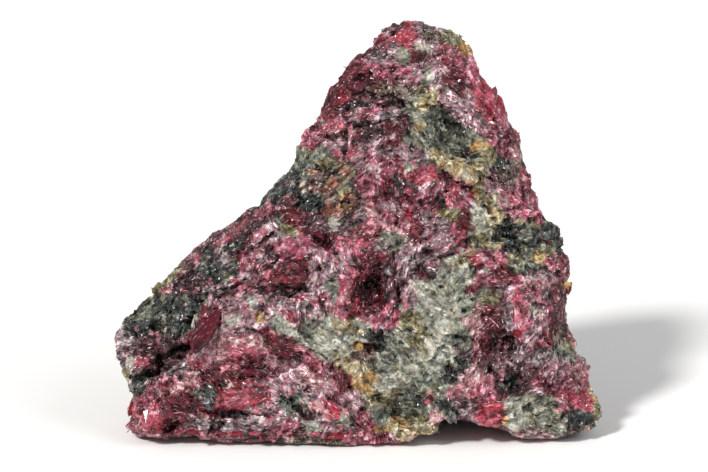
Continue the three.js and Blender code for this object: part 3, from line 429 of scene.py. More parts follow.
        (-12.1, 17.4, 0.45, 0.5, 0), (2.6, 3.2, 0.5, 0.3, 0),
    ),
    "orange_red": (
        (-2.5, 29.9, 1.3, 0.6, 8), (1.4, 13.0, 0.6, 0.6, 0), (-3.4, 32.8, 1.1, 0.6, 30),
        (-5.4, 34.4, 0.7, 0.4, 20), (-1.2, 31.6, 0.7, 0.5, 0), (-1.6, 34.6, 0.6, 0.5, 0),
    ),
}

# How ragged the patches' edges are: the size and seed of a soft wave, and the shares of the wave and of
# each grain. How deep the patches go, how much that differs, and how far they reach into the gaps
WAVE_SIZE = 1.1
WAVE_SEED = 21
PATCH_JITTER = 0.36
GRAIN_JITTER = 0.35
PATCH_DEPTH = 11.0
DEPTH_SPREAD = 3.0
GAP_REACH = 1.9

# Minerals of the sides, the back and the gaps between patches: their size, the level that soft noise has to
# pass, and its seed. Each lies over those before it in this list, and raspberry lies under them all.
NOISE_MINERALS = {
    "dark_purple": (3.4, 0.16, 35),
    "deep_red": (3.0, 0.26, 33),
    "lilac": (3.4, 0.36, 31),
    "hot_pink": (2.6, 0.46, 32),
    "grey_lilac": (4.0, 0.36, 34),
    "dark_green": (4.6, 0.44, 37),
    "pale": (5.0, 0.50, 36),
    "tan": (3.4, 0.60, 38),
}

# Which way the broken grains are streaked on the face: across, up, and the streaks' turn in degrees
STREAKS = (
    (0, 45, 30), (3, 44, -5), (1.8, 40, 30), (13, 42, -40), (18, 39, -50), (8, 50, 20), (11, 39, -60),
    (12, 35, -31), (3, 30, -40), (0, 27, 12), (-8, 24, 14), (-1.6, 21.6, -85), (1.4, 20, 60), (-16, 26, 38),
    (-20, 22, 30), (-25, 17, 10), (-19, 16, 65), (-13, 11, -10), (-9, 13, -38), (-15, 17, 20), (-5, 7, -50),
    (-17, 4, -8), (-21, 7, -24), (-24, 9, 42), (9, 16, -40), (8, 11, -35), (12, 21.6, 35), (19, 17, 85),
    (24, 17, 80), (16, 12, 70), (26, 7, -28), (20, 5, -5), (24, 11, 20), (19, 27, -20), (24, 26, -60),
    (16, 22, 20), (10, 25, 14), (-2, 33, 35), (8, 32, 50), (-6, 1.5, 2),
)

# How textures are drawn out along the streaks, and along finer ones that cross them: the size of the grains
# that turn together, how far each turns by chance and from the streaks in degrees, the stretch and the seed
MAIN_STREAKS = dict(cell=3.0, swing=60, aside=0, stretch=4.5, seed=17)
CROSS_STREAKS = dict(cell=1.5, swing=150, aside=60, stretch=3.0, seed=19)
# How far apart the textures of two grains may start
STREAK_SHIFT = 40

# Layers of broken grains: their size, how far they tilt out of the skin, and their seed
GRAIN_LAYERS = ((3.4, 0.24, 11), (1.6, 0.22, 12), (0.62, 0.16, 13))

# The same for blade-like grains, drawn out along the streaks
BLADE_LAYERS = ((0.9, 0.34, 14), (0.42, 0.36, 15))

# How much a grain stands up or down besides its tilt, how calm the relief is at the rim, how far in from
# the rim it starts and is full, and the same above the floor
LAYER_STEP = 0.25
RELIEF_CALM = 0.55
RELIEF_RIM = (0.2, 2.0)
RELIEF_FOOT = (0.05, 1.2)

# The small grains that are of one mineral each
MOSAIC_SIZE = 0.5
MOSAIC_SEED = 13

# Narrow and wide hollows, where the colour is darkened as painted shade: the rounds of evening out that
# they are measured against, and a full one's depth
HOLLOWS = ((8, 0.22), (50, 0.6))

# How light a grain's colour is at least, by how much that differs, how warm it may turn, and what warm does
# to its red, green and blue
LEAST_LIGHT = 0.7
LIGHT_SPREAD = 0.6
WARMTH = 0.14
WARM_PARTS = (1.0, -0.4, -1.0)

# The darkest grain's tone, and by how much tones differ on the skin and on chips. Then how far in from a
# grain's border its inside starts, and where it is full
LEAST_TONE = 0.55
SKIN_TONES = 0.8
CHIP_TONES = 0.9
GRAIN_RIM = (0.08, 0.6)

# Single crystals on the face: across, up, half length, half width, turn in degrees, and how far out each is
CRYSTALS = {
    "clear_wine": (
        (-18.4, 15.5, 3.7, 1.25, 61, 0.5), (1.3, 20.9, 1.9, 1.6, 55, -0.1),
        (1.9, 18.7, 1.6, 1.1, 20, -0.05), (-9.0, 20.8, 2.4, 0.8, 18, 0.1),
        (-9.3, 12.7, 1.9, 0.65, -40, 0.2), (-21.9, 6.8, 1.8, 0.6, -15, 0.2),
        (-5.2, 27.3, 1.8, 0.7, -35, 0.1), (-24.6, 13.0, 1.8, 0.6, 10, 0.1),
        (4.0, 32.7, 1.3, 1.0, 0, 0.15), (0.6, 45.3, 2.1, 0.8, 25, 0.15), (23.5, 19.9, 1.1, 1.0, 0, 0.15),
        (16.4, 16.3, 1.1, 1.0, 0, 0.15), (12.2, 45.1, 1.3, 1.0, 20, 0.15),
        (-8.0, 29.4, 1.1, 0.6, 10, 0.1), (-23.0, 3.6, 1.1, 0.8, 0, -0.3), (4.3, 39.5, 1.4, 0.9, 30, 0.1),
        (12.9, 28.4, 0.8, 1.3, -15, 0.1), (-12.8, 10.4, 2.4, 0.75, -6, 0.2),
    ),
    "clear_red": (
        (-27.7, 5.8, 1.1, 0.5, 80, 0.35), (-2.0, 44.4, 1.1, 0.5, 70, 0.2), (16.3, 5.0, 1.1, 0.9, 0, 0.2),
        (-15.2, 2.9, 1.5, 0.4, 0, 0.3), (-20.0, 3.1, 1.8, 0.4, -6, 0.3), (-2.8, 2.5, 1.6, 0.4, 4, 0.3),
        (19.4, 15.2, 0.7, 0.6, 0, 0.2), (-3.9, 19.1, 0.6, 0.45, 0, 0.25), (6.1, 29.3, 0.5, 0.45, 0, 0.25),
    ),
    "frosted_pink": (
        (-14.5, 6.8, 2.3, 0.95, 2, 0.5), (-25.0, 4.7, 1.7, 1.4, 30, 0.5), (7.8, 34.6, 0.95, 0.85, 0, 0.4),
        (26.6, 7.1, 1.4, 0.75, -28, 0.3), (-14.0, 20.5, 0.7, 0.55, 0, 0.2),
        (-12.9, 12.9, 1.2, 0.45, -45, 0.3), (-8.5, 4.0, 1.1, 0.55, 0, 0.35),
        (-5.2, 2.9, 0.9, 0.45, 0, 0.35), (-26.3, 11.4, 1.2, 0.5, -12, 0.3),
        (-10.7, 20.5, 0.7, 0.5, -10, 0.25), (4.2, 34.6, 0.8, 0.5, 0, 0.25),
        (14.0, 46.8, 1.4, 0.8, 70, 0.2), (-12.4, 2.9, 1.1, 0.4, 0, 0.35), (11.4, 31.9, 0.8, 0.6, 0, 0.25),
        (16.2, 43.6, 1.7, 0.9, 70, 0.3), (5.7, 51.7, 1.1, 0.9, 10, 0.25),
    ),
    "salmon": ((14.6, 9.4, 1.6, 1.2, 20, 0.3), (-24.0, 20.1, 0.6, 0.4, 0, 0.2)),
    "white": (
        (21.0, 23.3, 0.6, 0.35, -25, 0.35), (-9.7, 16.4, 0.8, 0.4, -40, 0.3),
        (-28.0, 11.2, 0.45, 0.4, 0, 0.3), (-20.0, 16.3, 1.1, 0.22, 74, 0.6),
        (-5.6, 3.6, 0.6, 0.4, 20, 0.3), (21.4, 17.6, 0.6, 0.3, 60, 0.3), (9.6, 18.4, 1.7, 1.0, -40, 0.25),
        (8.2, 14.0, 1.8, 1.1, -40, 0.25), (10.6, 12.7, 1.5, 0.9, -30, 0.25),
        (-4.6, 14.4, 1.5, 0.8, 20, 0.2),
    ),
    "ochre": (
        (25.6, 20.9, 0.6, 0.4, 0, 0.4), (-12.0, 17.1, 0.5, 0.45, 0, 0.3),
        (13.4, 49.6, 0.8, 0.5, -45, 0.25),
    ),
}

# Crystals: how far in front of the stone its face is looked for, thickness over width, how far each leans
# by chance, how many shapes there are, the corners of each, the least and the spread of their random
# values, how deep a hollow their painted shade is set for, and the seed
CRYSTAL_START = -20.0
CRYSTAL_THICK = 0.75
CRYSTAL_LEAN = 0.22
CRYSTAL_SHAPES = 12
CRYSTAL_CORNERS = 22
CRYSTAL_VALUES = (0.3, 0.4)
CRYSTAL_HOLLOW = -0.2
CRYSTAL_SEED = 5

# Small grains: the minerals that they grow on, how many places are tried, half length, half width and half
# thickness, how many corners each has, how far they turn from the streaks in degrees, and the draw's seed.
# A grain is made of the mineral that it grows on, or else of one that made_of names.
REDS = (
    "raspberry", "deep_red", "bright_red", "hot_pink", "salmon", "dark_purple", "clear_red", "clear_wine",
)
GRAIN_PIECES = {
    "eudialyte_grains": dict(
        on=REDS, tries=3600, size=(0.4, 0.2, 0.15), corners=12, turned=55, seed=41),
    "feldspar_grains": dict(
        on=("pale", "white", "lilac", "grey_lilac", "tan"), tries=3200, size=(0.34, 0.13, 0.1), corners=12,
        turned=55, seed=42),
    "aegirine_prisms": dict(
        on=("dark_green", "grey_green", "brown", "olive"), tries=5200, size=(0.5, 0.1, 0.09), corners=12,
        turned=55, seed=53),
    "ochre_grains": dict(
        on=("ochre", "orange_red", "tan"), tries=5200, size=(0.3, 0.18, 0.14), corners=12, turned=55,
        seed=44),
    "pale_needles": dict(
        on=REDS + ("lilac", "grey_lilac", "brown"), tries=12000, size=(0.55, 0.05, 0.04), corners=7,
        turned=70, seed=45, made_of=("lilac", "hot_pink", "salmon")),
}

# How the small grains differ in size, all over and by side, how far each leans, how deep it is set, how
# many shapes there are, and how deep a hollow their painted shade is set for
SIZE_SPREAD = 0.35
SIDE_SPREAD = (0.8, 1.25)
GRAIN_LEAN = 0.45
GRAIN_SUNK = 0.25
GRAIN_SHAPES = 10
GRAIN_HOLLOW = -0.15

# Small grains sit at least this far above the floor, and on nothing that faces further down than this
FOOT_CLEAR = 0.9
LOWEST_FACING = -0.5

# How far the corners of a chip may lie from its middle, in its half sizes
CHIP_REACH = (0.8, 1.0)


def linear(red, green, blue):
    """Turns a colour given in the usual 0 to 255 into linear light."""
    parts = (red, green, blue)
    return tuple(((c / 255 + 0.055) / 1.055) ** 2.4 if c > 10 else c / 255 / 12.92 for c in parts)


def colour_choice(name, rgb, description):
    """A colour that a user can change, given in the usual 0 to 255."""
    return FloatVectorProperty(
        name=name, description=description, subtype="COLOR", size=3, min=0, max=1, default=linear(*rgb)
    )


class MineralColours(bpy.types.PropertyGroup):
    """Colours of the minerals."""

    raspberry: colour_choice("Raspberry", (124, 26, 45), "Common eudialyte")
    deep_red: colour_choice("Deep red", (78, 7, 18), "Thick, clear eudialyte")
    bright_red: colour_choice("Bright red", (158, 26, 50), "Thin, clear eudialyte at edges and knobs")
    hot_pink: colour_choice("Hot pink", (174, 62, 88), "Frosted eudialyte in the light")
    salmon: colour_choice("Salmon", (172, 94, 104), "Pale eudialyte")
    lilac: colour_choice("Lilac", (138, 84, 92), "Frosty lilac crust")
    grey_lilac: colour_choice("Grey lilac", (92, 63, 68), "Lilac crust full of dark grains")
    pale: colour_choice("Pale", (140, 138, 120), "Grey-green feldspar and nepheline")
    white: colour_choice("White", (178, 174, 160), "White feldspar")
    grey_green: colour_choice("Grey green", (95, 98, 83), "Feldspar full of fine aegirine")
    dark_green: colour_choice("Dark green", (23, 26, 23), "Green-black aegirine")
    dark_purple: colour_choice("Dark purple", (42, 14, 21), "Eudialyte with dark grains behind it")
    brown: colour_choice("Brown", (56, 37, 31), "Brown altered grains")
    olive: colour_choice("Olive", (108, 97, 62), "Olive crust")
    tan: colour_choice("Tan", (162, 140, 100), "Tan sparkling crust")
    ochre: colour_choice("Ochre", (182, 134, 66), "Ochre iron stain")
    orange_red: colour_choice("Orange red", (138, 54, 40), "Stained eudialyte")
    clear_red: colour_choice("Clear red", (122, 8, 26), "Clear crystals with the light behind them")
    clear_wine: colour_choice("Clear wine", (78, 12, 28), "Thick clear crystals")
    frosted_pink: colour_choice("Frosted pink", (160, 56, 78), "Broken crystals with a frosted face")
    # The smallest sparks: white specks of mineral, partly painted glints
    speck_and_painted_glint: colour_choice("Glint", (250, 247, 245), "Smallest sparks in every mineral")


class StoneSizes(bpy.types.PropertyGroup):
    """Size of the skin's relief."""

    relief: FloatProperty(
        name="Relief", description="Strength of the broken grains, as a factor",
        default=1.0, min=0, max=2, subtype="FACTOR",
    )


class StudioSettings(bpy.types.PropertyGroup):
    """Light, floor and camera."""

    floor_colour: colour_choice("Floor", (246, 246, 245), "Colour of the pale floor")
    key_strength: FloatProperty(name="Key light", description="Strength of the key sun", default=2.9, min=0)
    fill_strength: FloatProperty(
        name="Fill light", description="Strength of the fill sun", default=0.8, min=0
    )
    sky_strength: FloatProperty(
        name="Sky", description="Strength of the soft light all round", default=0.42, min=0
    )
    lens: FloatProperty(
        name="Lens", description="Focal length of the camera, mm", default=170, min=35,
        subtype="DISTANCE_CAMERA",
    )


def to_face(points):
    """Turns points of the model, in mm, into places on the face."""
    moved = points - FACE_ORIGIN
    sin, cos = math.sin(FACE_LEAN), math.cos(FACE_LEAN)
    return np.stack(
        (moved[:, 0], moved[:, 1] * sin + moved[:, 2] * cos, moved[:, 1] * cos - moved[:, 2] * sin), axis=1
    )


def from_face(places):
    """Turns places on the face into points of the model, in mm."""
    sin, cos = math.sin(FACE_LEAN), math.cos(FACE_LEAN)
    back = places[:, 1] * sin + places[:, 2] * cos
    height = places[:, 1] * cos - places[:, 2] * sin
    return np.stack((places[:, 0], back, height), axis=1) + FACE_ORIGIN


def smoothstep(values, low, high):
    """Runs smoothly from 0 at low to 1 at high."""
    t = np.clip((values - low) / (high - low), 0, 1)
    return t * t * (3 - 2 * t)


def random_table(seed, channels):
    """A block of steady random values that noise and grains are read from."""
    return np.random.default_rng(seed).random((TABLE_SIZE, TABLE_SIZE, TABLE_SIZE, channels))


def table_entry(table, corner):
    """Reads the table at whole-number corners, repeating it without end."""
    i, j, k = (corner % TABLE_SIZE).T
    return table[i, j, k]


def soft_noise(points, size, seed):
    """Smooth noise from -1 to 1 with features of about that size."""
    table = random_table(seed, 1)
    scaled = points / size
    corner = np.floor(scaled).astype(int)
    share = scaled - corner
    share = share * share * (3 - 2 * share)
    total = np.zeros(len(points))
    for offset in np.ndindex(2, 2, 2):
        weight = np.prod(np.where(offset, share, 1 - share), axis=1)
        total += weight * table_entry(table, corner + offset)[:, 0]
    return 2 * total - 1


def grain_cells(points, size, seed):
    """The grain that each point belongs to: its middle, its random values, and how near its border is."""
    table = random_table(seed, GRAIN_VALUES)
    scaled = points / size
    corner = np.floor(scaled).astype(int)
    nearest = np.full(len(points), np.inf)
    second = np.full(len(points), np.inf)
    middle = np.zeros_like(points)
    values = np.zeros((len(points), GRAIN_VALUES))
    for offset in np.ndindex(3, 3, 3):
        cell = corner + np.array(offset) - 1
        entry = table_entry(table, cell)
        seed_point = cell + entry[:, :3]
        distance = np.linalg.norm(scaled - seed_point, axis=1)
        closer = distance < nearest
        second = np.where(closer, nearest, np.minimum(second, distance))
        nearest = np.where(closer, distance, nearest)
        middle[closer] = seed_point[closer]
        values[closer] = entry[closer]
    return middle * size, values, (second - nearest) * size


def polygon_distance(across, up, corners):
    """Distance to a closed outline: less than zero inside."""
    nearest = np.full(len(across), np.inf)
    inside = np.zeros(len(across), bool)
    for (x1, y1), (x2, y2) in zip(corners, corners[1:] + corners[:1]):
        run_x, run_y = x2 - x1, y2 - y1
        along = ((across - x1) * run_x + (up - y1) * run_y) / (run_x * run_x + run_y * run_y)
        t = np.clip(along, 0, 1)
        nearest = np.minimum(nearest, np.hypot(across - x1 - t * run_x, up - y1 - t * run_y))
        if run_y:
            inside ^= ((y1 > up) != (y2 > up)) & (across < x1 + (up - y1) * run_x / run_y)
    return np.where(inside, -nearest, nearest)


def ellipse_reach(across, up, patch):
    """How far out a place lies in a turned ellipse: 1 on its edge."""
    turn = math.radians(patch[4])
    dx, dy = across - patch[0], up - patch[1]
    wide = (dx * math.cos(turn) + dy * math.sin(turn)) / patch[2]
    tall = (dy * math.cos(turn) - dx * math.sin(turn)) / patch[3]
    return np.hypot(wide, tall)


def stands_out(across, up, form, edge):
    """How far a form stands out at each place, soft towards its edge."""
    return form[5] * (1 - smoothstep(ellipse_reach(across, up, form), *edge))


def form_depth(across, up, rim):
    """Depth of the broken face before its grains."""
    depth = FACE_MIDDLE[2] + FACE_SAG * ((across - FACE_MIDDLE[0]) ** 2 + (up - FACE_MIDDLE[1]) ** 2)
    depth = depth + RIM_FALL * np.exp(np.minimum(rim, 0) / RIM_REACH)
    depth = depth + np.maximum(FOOT_CURL_HEIGHT - up, 0) * FOOT_CURL_SLOPE
    for form in (*FACE_FORMS.values(), *CRACKS):
        depth = depth - stands_out(across, up, form, FORM_EDGE)
    return depth


class FaceMap:
    """Distance to the outline and depth of the face, worked out once on a fine even grid."""

    def __init__(self):
        across = np.arange(MAP_LOW[0], MAP_HIGH[0], MAP_STEP)
        up = np.arange(MAP_LOW[1], MAP_HIGH[1], MAP_STEP)
        wide, tall = np.meshgrid(across, up, indexing="ij")
        rim = polygon_distance(wide.ravel(), tall.ravel(), OUTLINE)
        self.rim = rim.reshape(wide.shape)
        self.depth = form_depth(wide.ravel(), tall.ravel(), rim).reshape(wide.shape)

    def read(self, across, up):
        """Distance to the outline and depth of the face at any places."""
        # Just short of the last row and column, so that each place has a grid point on both sides
        last_x, last_y = np.array(self.rim.shape) - 1.001
        x = np.clip((across - MAP_LOW[0]) / MAP_STEP, 0, last_x)
        y = np.clip((up - MAP_LOW[1]) / MAP_STEP, 0, last_y)
        i, j = x.astype(int), y.astype(int)
        s, t = x - i, y - j
        found = []
        for table in (self.rim, self.depth):
            low = table[i, j] * (1 - s) + table[i + 1, j] * s
            high = table[i, j + 1] * (1 - s) + table[i + 1, j + 1] * s
            found.append(low * (1 - t) + high * t)
        return found


def notch_distance(places):
    """Distance to the notch under the face: less than zero inside it."""
    share = np.clip(places[:, 2] / NOTCH_DEPTH, 0, 1)
    narrowing = 1 + (NOTCH_NARROWING - 1) * share
    across = NOTCH_MIDDLE + (places[:, 0] - NOTCH_MIDDLE) / narrowing
    return np.maximum(polygon_distance(across, places[:, 1], NOTCH), places[:, 2] - NOTCH_DEPTH)


def stone_distance(points, face):
    """Distance to the stone's surface before its small grains: less than zero inside."""
    places = to_face(points)
    rim, depth = face.read(places[:, 0], places[:, 1])
    bulging = sum(stands_out(places[:, 0], places[:, 1], bulge, BULGE_EDGE) for bulge in BULGES)
    grown = OUTLINE_GROWTH + bulging
    side = rim - grown + np.maximum(places[:, 2] - SIDE_START, 0) * SIDE_TAPER
    distance = np.maximum(side, depth - places[:, 2])
    raw = points - FACE_ORIGIN
    for through, facing in BREAKS:
        normal = np.array(facing) / np.linalg.norm(facing)
        distance = np.maximum(distance, (raw - np.array(through)) @ normal)
    calm = RIM_CALM + (1 - RIM_CALM) * smoothstep(-rim, 0, RIM_WIDTH)
    distance = distance + calm * SWELL_HEIGHT * soft_noise(points, SWELL_SIZE, SWELL_SEED)
    low = places[:, 1] < NOTCH_TOP
    distance[low] = np.maximum(distance[low], -notch_distance(places[low]))
    return np.maximum(distance, -points[:, 2])


def crossings(field, axis):
    """Grid edges along an axis that the surface crosses, how far along, and whether they start inside."""
    low = np.take(field, np.arange(field.shape[axis] - 1), axis)
    high = np.take(field, np.arange(1, field.shape[axis]), axis)
    crossed = (low < 0) != (high < 0)
    share = np.divide(low, low - high, out=np.zeros_like(low), where=crossed)
    return crossed, share, low < 0


def surface_net(field):
    """An even net of four-sided faces where the field is zero: a point in each cell that it crosses."""
    cells = tuple(n - 1 for n in field.shape)
    count = np.zeros(cells)
    total = np.zeros((*cells, 3))
    edges = [crossings(field, axis) for axis in range(3)]
    for axis, (crossed, share, _) in enumerate(edges):
        others = [other for other in range(3) if other != axis]
        for shift in np.ndindex(2, 2):
            part = [slice(None)] * 3
            for other, start in zip(others, shift):
                part[other] = slice(start, start + cells[other])
            here = crossed[tuple(part)]
            count += here
            total[..., axis] += share[tuple(part)]
            for other, start in zip(others, shift):
                total[..., other] += here * start
    used = count > 0
    number = np.full(cells, -1)
    number[used] = np.arange(used.sum())
    points = np.argwhere(used) + total[used] / count[used][:, None]
    faces = [net_faces(edge, axis, cells, number) for axis, edge in enumerate(edges)]
    return points, np.concatenate(faces)


def net_faces(edge, axis, cells, number):
    """The four-sided faces around the crossed grid edges of one axis."""
    crossed, _, inside = edge
    b, c = (axis + 1) % 3, (axis + 2) % 3
    where = np.argwhere(crossed)
    keep = (where[:, b] > 0) & (where[:, c] > 0) & (where[:, b] < cells[b]) & (where[:, c] < cells[c])
    where = where[keep]
    ring = []
    for back_b, back_c in ((1, 1), (0, 1), (0, 0), (1, 0)):
        cell = where.copy()
        cell[:, b] -= back_b
        cell[:, c] -= back_c
        ring.append(number[tuple(cell.T)])
    ring = np.stack(ring, axis=1)
    # The face's own axes are left-handed, so an edge that starts inside takes the turned ring
    turned = inside[tuple(where.T)]
    ring[turned] = ring[turned][:, ::-1]
    return ring


def net_mesh(face):
    """Mesh of the stone before its small grains."""
    axes = [np.arange(low, high, NET_STEP) for low, high in zip(NET_LOW, NET_HIGH)]
    grid = np.stack(np.meshgrid(*axes, indexing="ij"), axis=-1)
    field = stone_distance(from_face(grid.reshape(-1, 3)), face).reshape(grid.shape[:3])
    points, faces = surface_net(field)
    mesh = bpy.data.meshes.new(SKIN)
    mesh.from_pydata(from_face(np.array(NET_LOW) + points * NET_STEP) * MM, [], faces.tolist())
    return mesh


def mesh_rows(items, key, width, kind=np.int32):
    """The numbers of a mesh's items, as rows of that width."""
    flat = np.empty(len(items) * width, kind)
    items.foreach_get(key, flat)
    return flat.reshape(-1, width)


def mesh_points(mesh):
    """The mesh's points, in mm."""
    return mesh_rows(mesh.vertices, "co", 3, np.float32).astype(float) / MM


def mesh_triangles(mesh):
    """The corners of each triangle of a mesh that has only triangles."""
    return mesh_rows(mesh.loops, "vertex_index", 1).reshape(-1, 3)


def mesh_edges(mesh):
    """The ends of each edge."""
    return mesh_rows(mesh.edges, "vertices", 2)


def outward(points, triangles):
    """Unit vectors that point out of the surface at each point."""
    a, b, c = (points[triangles[:, i]] for i in range(3))
    face = np.cross(b - a, c - a)
    total = np.zeros_like(points)
    for corner in range(3):
        for axis in range(3):
            total[:, axis] += np.bincount(triangles[:, corner], face[:, axis], len(points))
    return total / np.maximum(np.linalg.norm(total, axis=1, keepdims=True), 1e-12)


def evened(points, edges, rounds, share=0.5):
    """Moves each point part of the way to the middle of its neighbours, a few times."""
    count = np.bincount(edges.ravel(), minlength=len(points))[:, None]
    for _ in range(rounds):
        total = np.zeros_like(points)
        for axis in range(points.shape[1]):
            total[:, axis] += np.bincount(edges[:, 0], points[edges[:, 1], axis], len(points))
            total[:, axis] += np.bincount(edges[:, 1], points[edges[:, 0], axis], len(points))
        points = points + share * (total / np.maximum(count, 1) - points)
    return points


def split_finer(mesh):
    """Halves every edge of the broken face, then cuts all faces into triangles."""
    grid = bmesh.new()
    grid.from_mesh(mesh)
    grid.normal_update()
    towards = Vector((0, -math.cos(FACE_LEAN), math.sin(FACE_LEAN)))
    seen = [f for f in grid.faces if f.normal.dot(towards) > FRONT_TURN]
    edges = list({e for f in seen for e in f.edges})
    bmesh.ops.subdivide_edges(grid, edges=edges, cuts=1, use_grid_fill=True)
    bmesh.ops.triangulate(grid, faces=grid.faces)
    grid.to_mesh(mesh)
    grid.free()


def drawn_to_stone(points, edges, face):
    """Evens the points out and draws them straight onto the stone's surface."""
    reach = 0.05
    least_slope = 0.5
    longest_step = 0.4
    evening = (0.4, 0.4, 0)
    for share in evening:
        if share:
            points = evened(points, edges, 1, share)
        here = stone_distance(points, face)
        slope = np.stack(
            [(stone_distance(points + reach * axis, face) - here) / reach for axis in np.eye(3)], axis=1
        )
        steep = np.maximum(np.einsum("ij,ij->i", slope, slope), least_slope)
        points = points - np.clip(here / steep, -longest_step, longest_step)[:, None] * slope
    return points


def drawn_to_solid(points, edges, face):
    """Draws the sides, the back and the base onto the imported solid."""
    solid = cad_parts[STONE].data
    solid.calc_loop_triangles()
    corners = [tuple(v.co / MM) for v in solid.vertices]
    tree = BVHTree.FromPolygons(corners, [tuple(t.vertices) for t in solid.loop_triangles])
    places = to_face(points)
    behind = places[:, 2] - face.read(places[:, 0], places[:, 1])[1]
    share = np.maximum(smoothstep(behind, *SOLID_REACH), 1 - smoothstep(points[:, 2], *SOLID_FOOT))
    part = share[:, None]
    chosen = np.flatnonzero(share > 0)
    for _ in range(2):
        drawn = points.copy()
        for i in chosen:
            way = np.array(tree.find_nearest(points[i])[0]) - points[i]
            drawn[i] += share[i] * np.clip(way, -SOLID_PULL, SOLID_PULL)
        points = drawn + part * (evened(drawn, edges, rounds=2) - drawn)
    return points


def mineral_fields(points):
    """The mineral at each point, as its number in MINERAL_NAMES, and its small grain's random values."""
    middles, values, _ = grain_cells(points, MOSAIC_SIZE, MOSAIC_SEED)
    places = to_face(middles)
    jitter = PATCH_JITTER * soft_noise(middles, WAVE_SIZE, WAVE_SEED) + GRAIN_JITTER * (values[:, 3] - 0.5)
    patches = [(p, MINERAL_NAMES.index(name)) for name, group in PATCHES.items() for p in group]
    patches.sort(key=lambda item: -item[0][2] * item[0][3])
    inside = np.full(len(points), -1)
    beside = np.full(len(points), -1)
    nearest = np.full(len(points), GAP_REACH)
    for patch, index in patches:
        reach = ellipse_reach(places[:, 0], places[:, 1], patch) + jitter
        inside[reach < 1] = index
        beside = np.where(reach < nearest, index, beside)
        nearest = np.minimum(nearest, reach)
    on_face = np.where(inside < 0, beside, inside)
    loose = (on_face < 0) | (places[:, 2] > PATCH_DEPTH + DEPTH_SPREAD * values[:, 4])
    chosen = np.where(loose, mineral_by_noise(middles), on_face)
    return strayed(chosen, values), values


def mineral_by_noise(middles):
    """Minerals of the sides and back, and of the gaps between the patches of the face."""
    chosen = np.full(len(middles), MINERAL_NAMES.index("raspberry"))
    for name, (size, level, seed) in NOISE_MINERALS.items():
        chosen = np.where(soft_noise(middles, size, seed) > level, MINERAL_NAMES.index(name), chosen)
    return chosen


def strayed(chosen, values):
    """Swaps a share of the grains for the stray grains that their mineral holds."""
    swapped = chosen.copy()
    draw = values[:, 5]
    for name, strays in STRAYS.items():
        mine = chosen == MINERAL_NAMES.index(name)
        low = 0.0
        for stray, share in strays:
            high = low + STRAY_SHARE * share
            swapped[mine & (draw >= low) & (draw < high)] = MINERAL_NAMES.index(stray)
            low = high
    return swapped


def mineral_values(chosen, finish):
    """One finish of each point's mineral."""
    column = FINISHES.index(finish)
    return np.array([finishes[column] for _, _, *finishes in MINERALS.values()])[chosen]


def layer_height(places, size, tilt, seed):
    """Height of one layer of tilted, flat grains."""
    middles, values, _ = grain_cells(places, size, seed)
    lean = (values[:, 3:6] - 0.5) * 2
    height = tilt * np.einsum("ij,ij->i", places - middles, lean)
    return height + LAYER_STEP * tilt * size * (values[:, 6] - 0.5)


def grain_relief(points, places, broken):
    """Height of the broken grains along the outward direction."""
    height = sum(layer_height(points, *layer) for layer in GRAIN_LAYERS)
    streaks = streak_places(points, points, **MAIN_STREAKS)
    height = height + sum(layer_height(streaks, *layer) for layer in BLADE_LAYERS)
    rim = -polygon_distance(places[:, 0], places[:, 1], OUTLINE)
    calm = RELIEF_CALM + (1 - RELIEF_CALM) * smoothstep(rim, *RELIEF_RIM)
    return height * calm * broken * smoothstep(points[:, 2], *RELIEF_FOOT)


def streak_turn(places):
    """The turn of the streaks nearest to each place on the face, in degrees."""
    marks = np.array(STREAKS)
    gap = np.hypot(places[:, :1] - marks[:, 0], places[:, 1:2] - marks[:, 1])
    return marks[np.argmin(gap, axis=1), 2]


def streak_places(points, anchors, cell, swing, aside, stretch, seed):
    """Places in which textures are drawn out along the streaks of each anchor's broken grain, in mm."""
    middles, values, _ = grain_cells(anchors, cell, seed)
    places = to_face(points)
    turn = np.radians(streak_turn(to_face(middles)) + aside + swing * (values[:, 3] - 0.5))
    along = places[:, 0] * np.cos(turn) + places[:, 1] * np.sin(turn)
    across = places[:, 1] * np.cos(turn) - places[:, 0] * np.sin(turn)
    drawn_out = np.stack((along / stretch, across, places[:, 2]), axis=1)
    return drawn_out + STREAK_SHIFT * values[:, 4:7]


def set_attribute(mesh, name, kind, values):
    """Stores one value, place or colour at each point."""
    layer = mesh.attributes.new(name, kind, "POINT")
    if kind == "FLOAT_COLOR":
        full = np.ones((len(values), 4), np.float32)
        full[:, :3] = values
        layer.data.foreach_set("color", full.ravel())
    elif kind == "FLOAT_VECTOR":
        layer.data.foreach_set("vector", values.astype(np.float32).ravel())
    else:
        layer.data.foreach_set("value", np.asarray(values, np.float32))


def grain_colours(chosen, values, palette):
    """Colour of each point: its mineral's colour, a little lighter or darker from grain to grain."""
    light = LEAST_LIGHT + LIGHT_SPREAD * values[:, 6:7]
    warm = 1 + WARMTH * (values[:, 7:8] - 0.5) * np.array(WARM_PARTS)
    return np.clip(palette[chosen] * light * warm, 0, 1)


def store_minerals(mesh, chosen, values, colours, edges=()):
    """Stores the colours and finishes of each point's mineral. Edges even the colours out along them."""
    palettes = {
        "mineral_colour": [tuple(getattr(colours, name)) for name in MINERAL_NAMES],
        "light_colour": [linear(*light) for light, *_ in MINERALS.values()],
        "deep_colour": [linear(*deep) for _, deep, *_ in MINERALS.values()],
    }
    for name, palette in palettes.items():
        colour = grain_colours(chosen, values, np.array(palette))
        set_attribute(mesh, name, "FLOAT_COLOR", evened(colour, edges, 1) if len(edges) else colour)
    for finish in FINISHES[:-1]:
        set_attribute(mesh, finish, "FLOAT", mineral_values(chosen, finish))


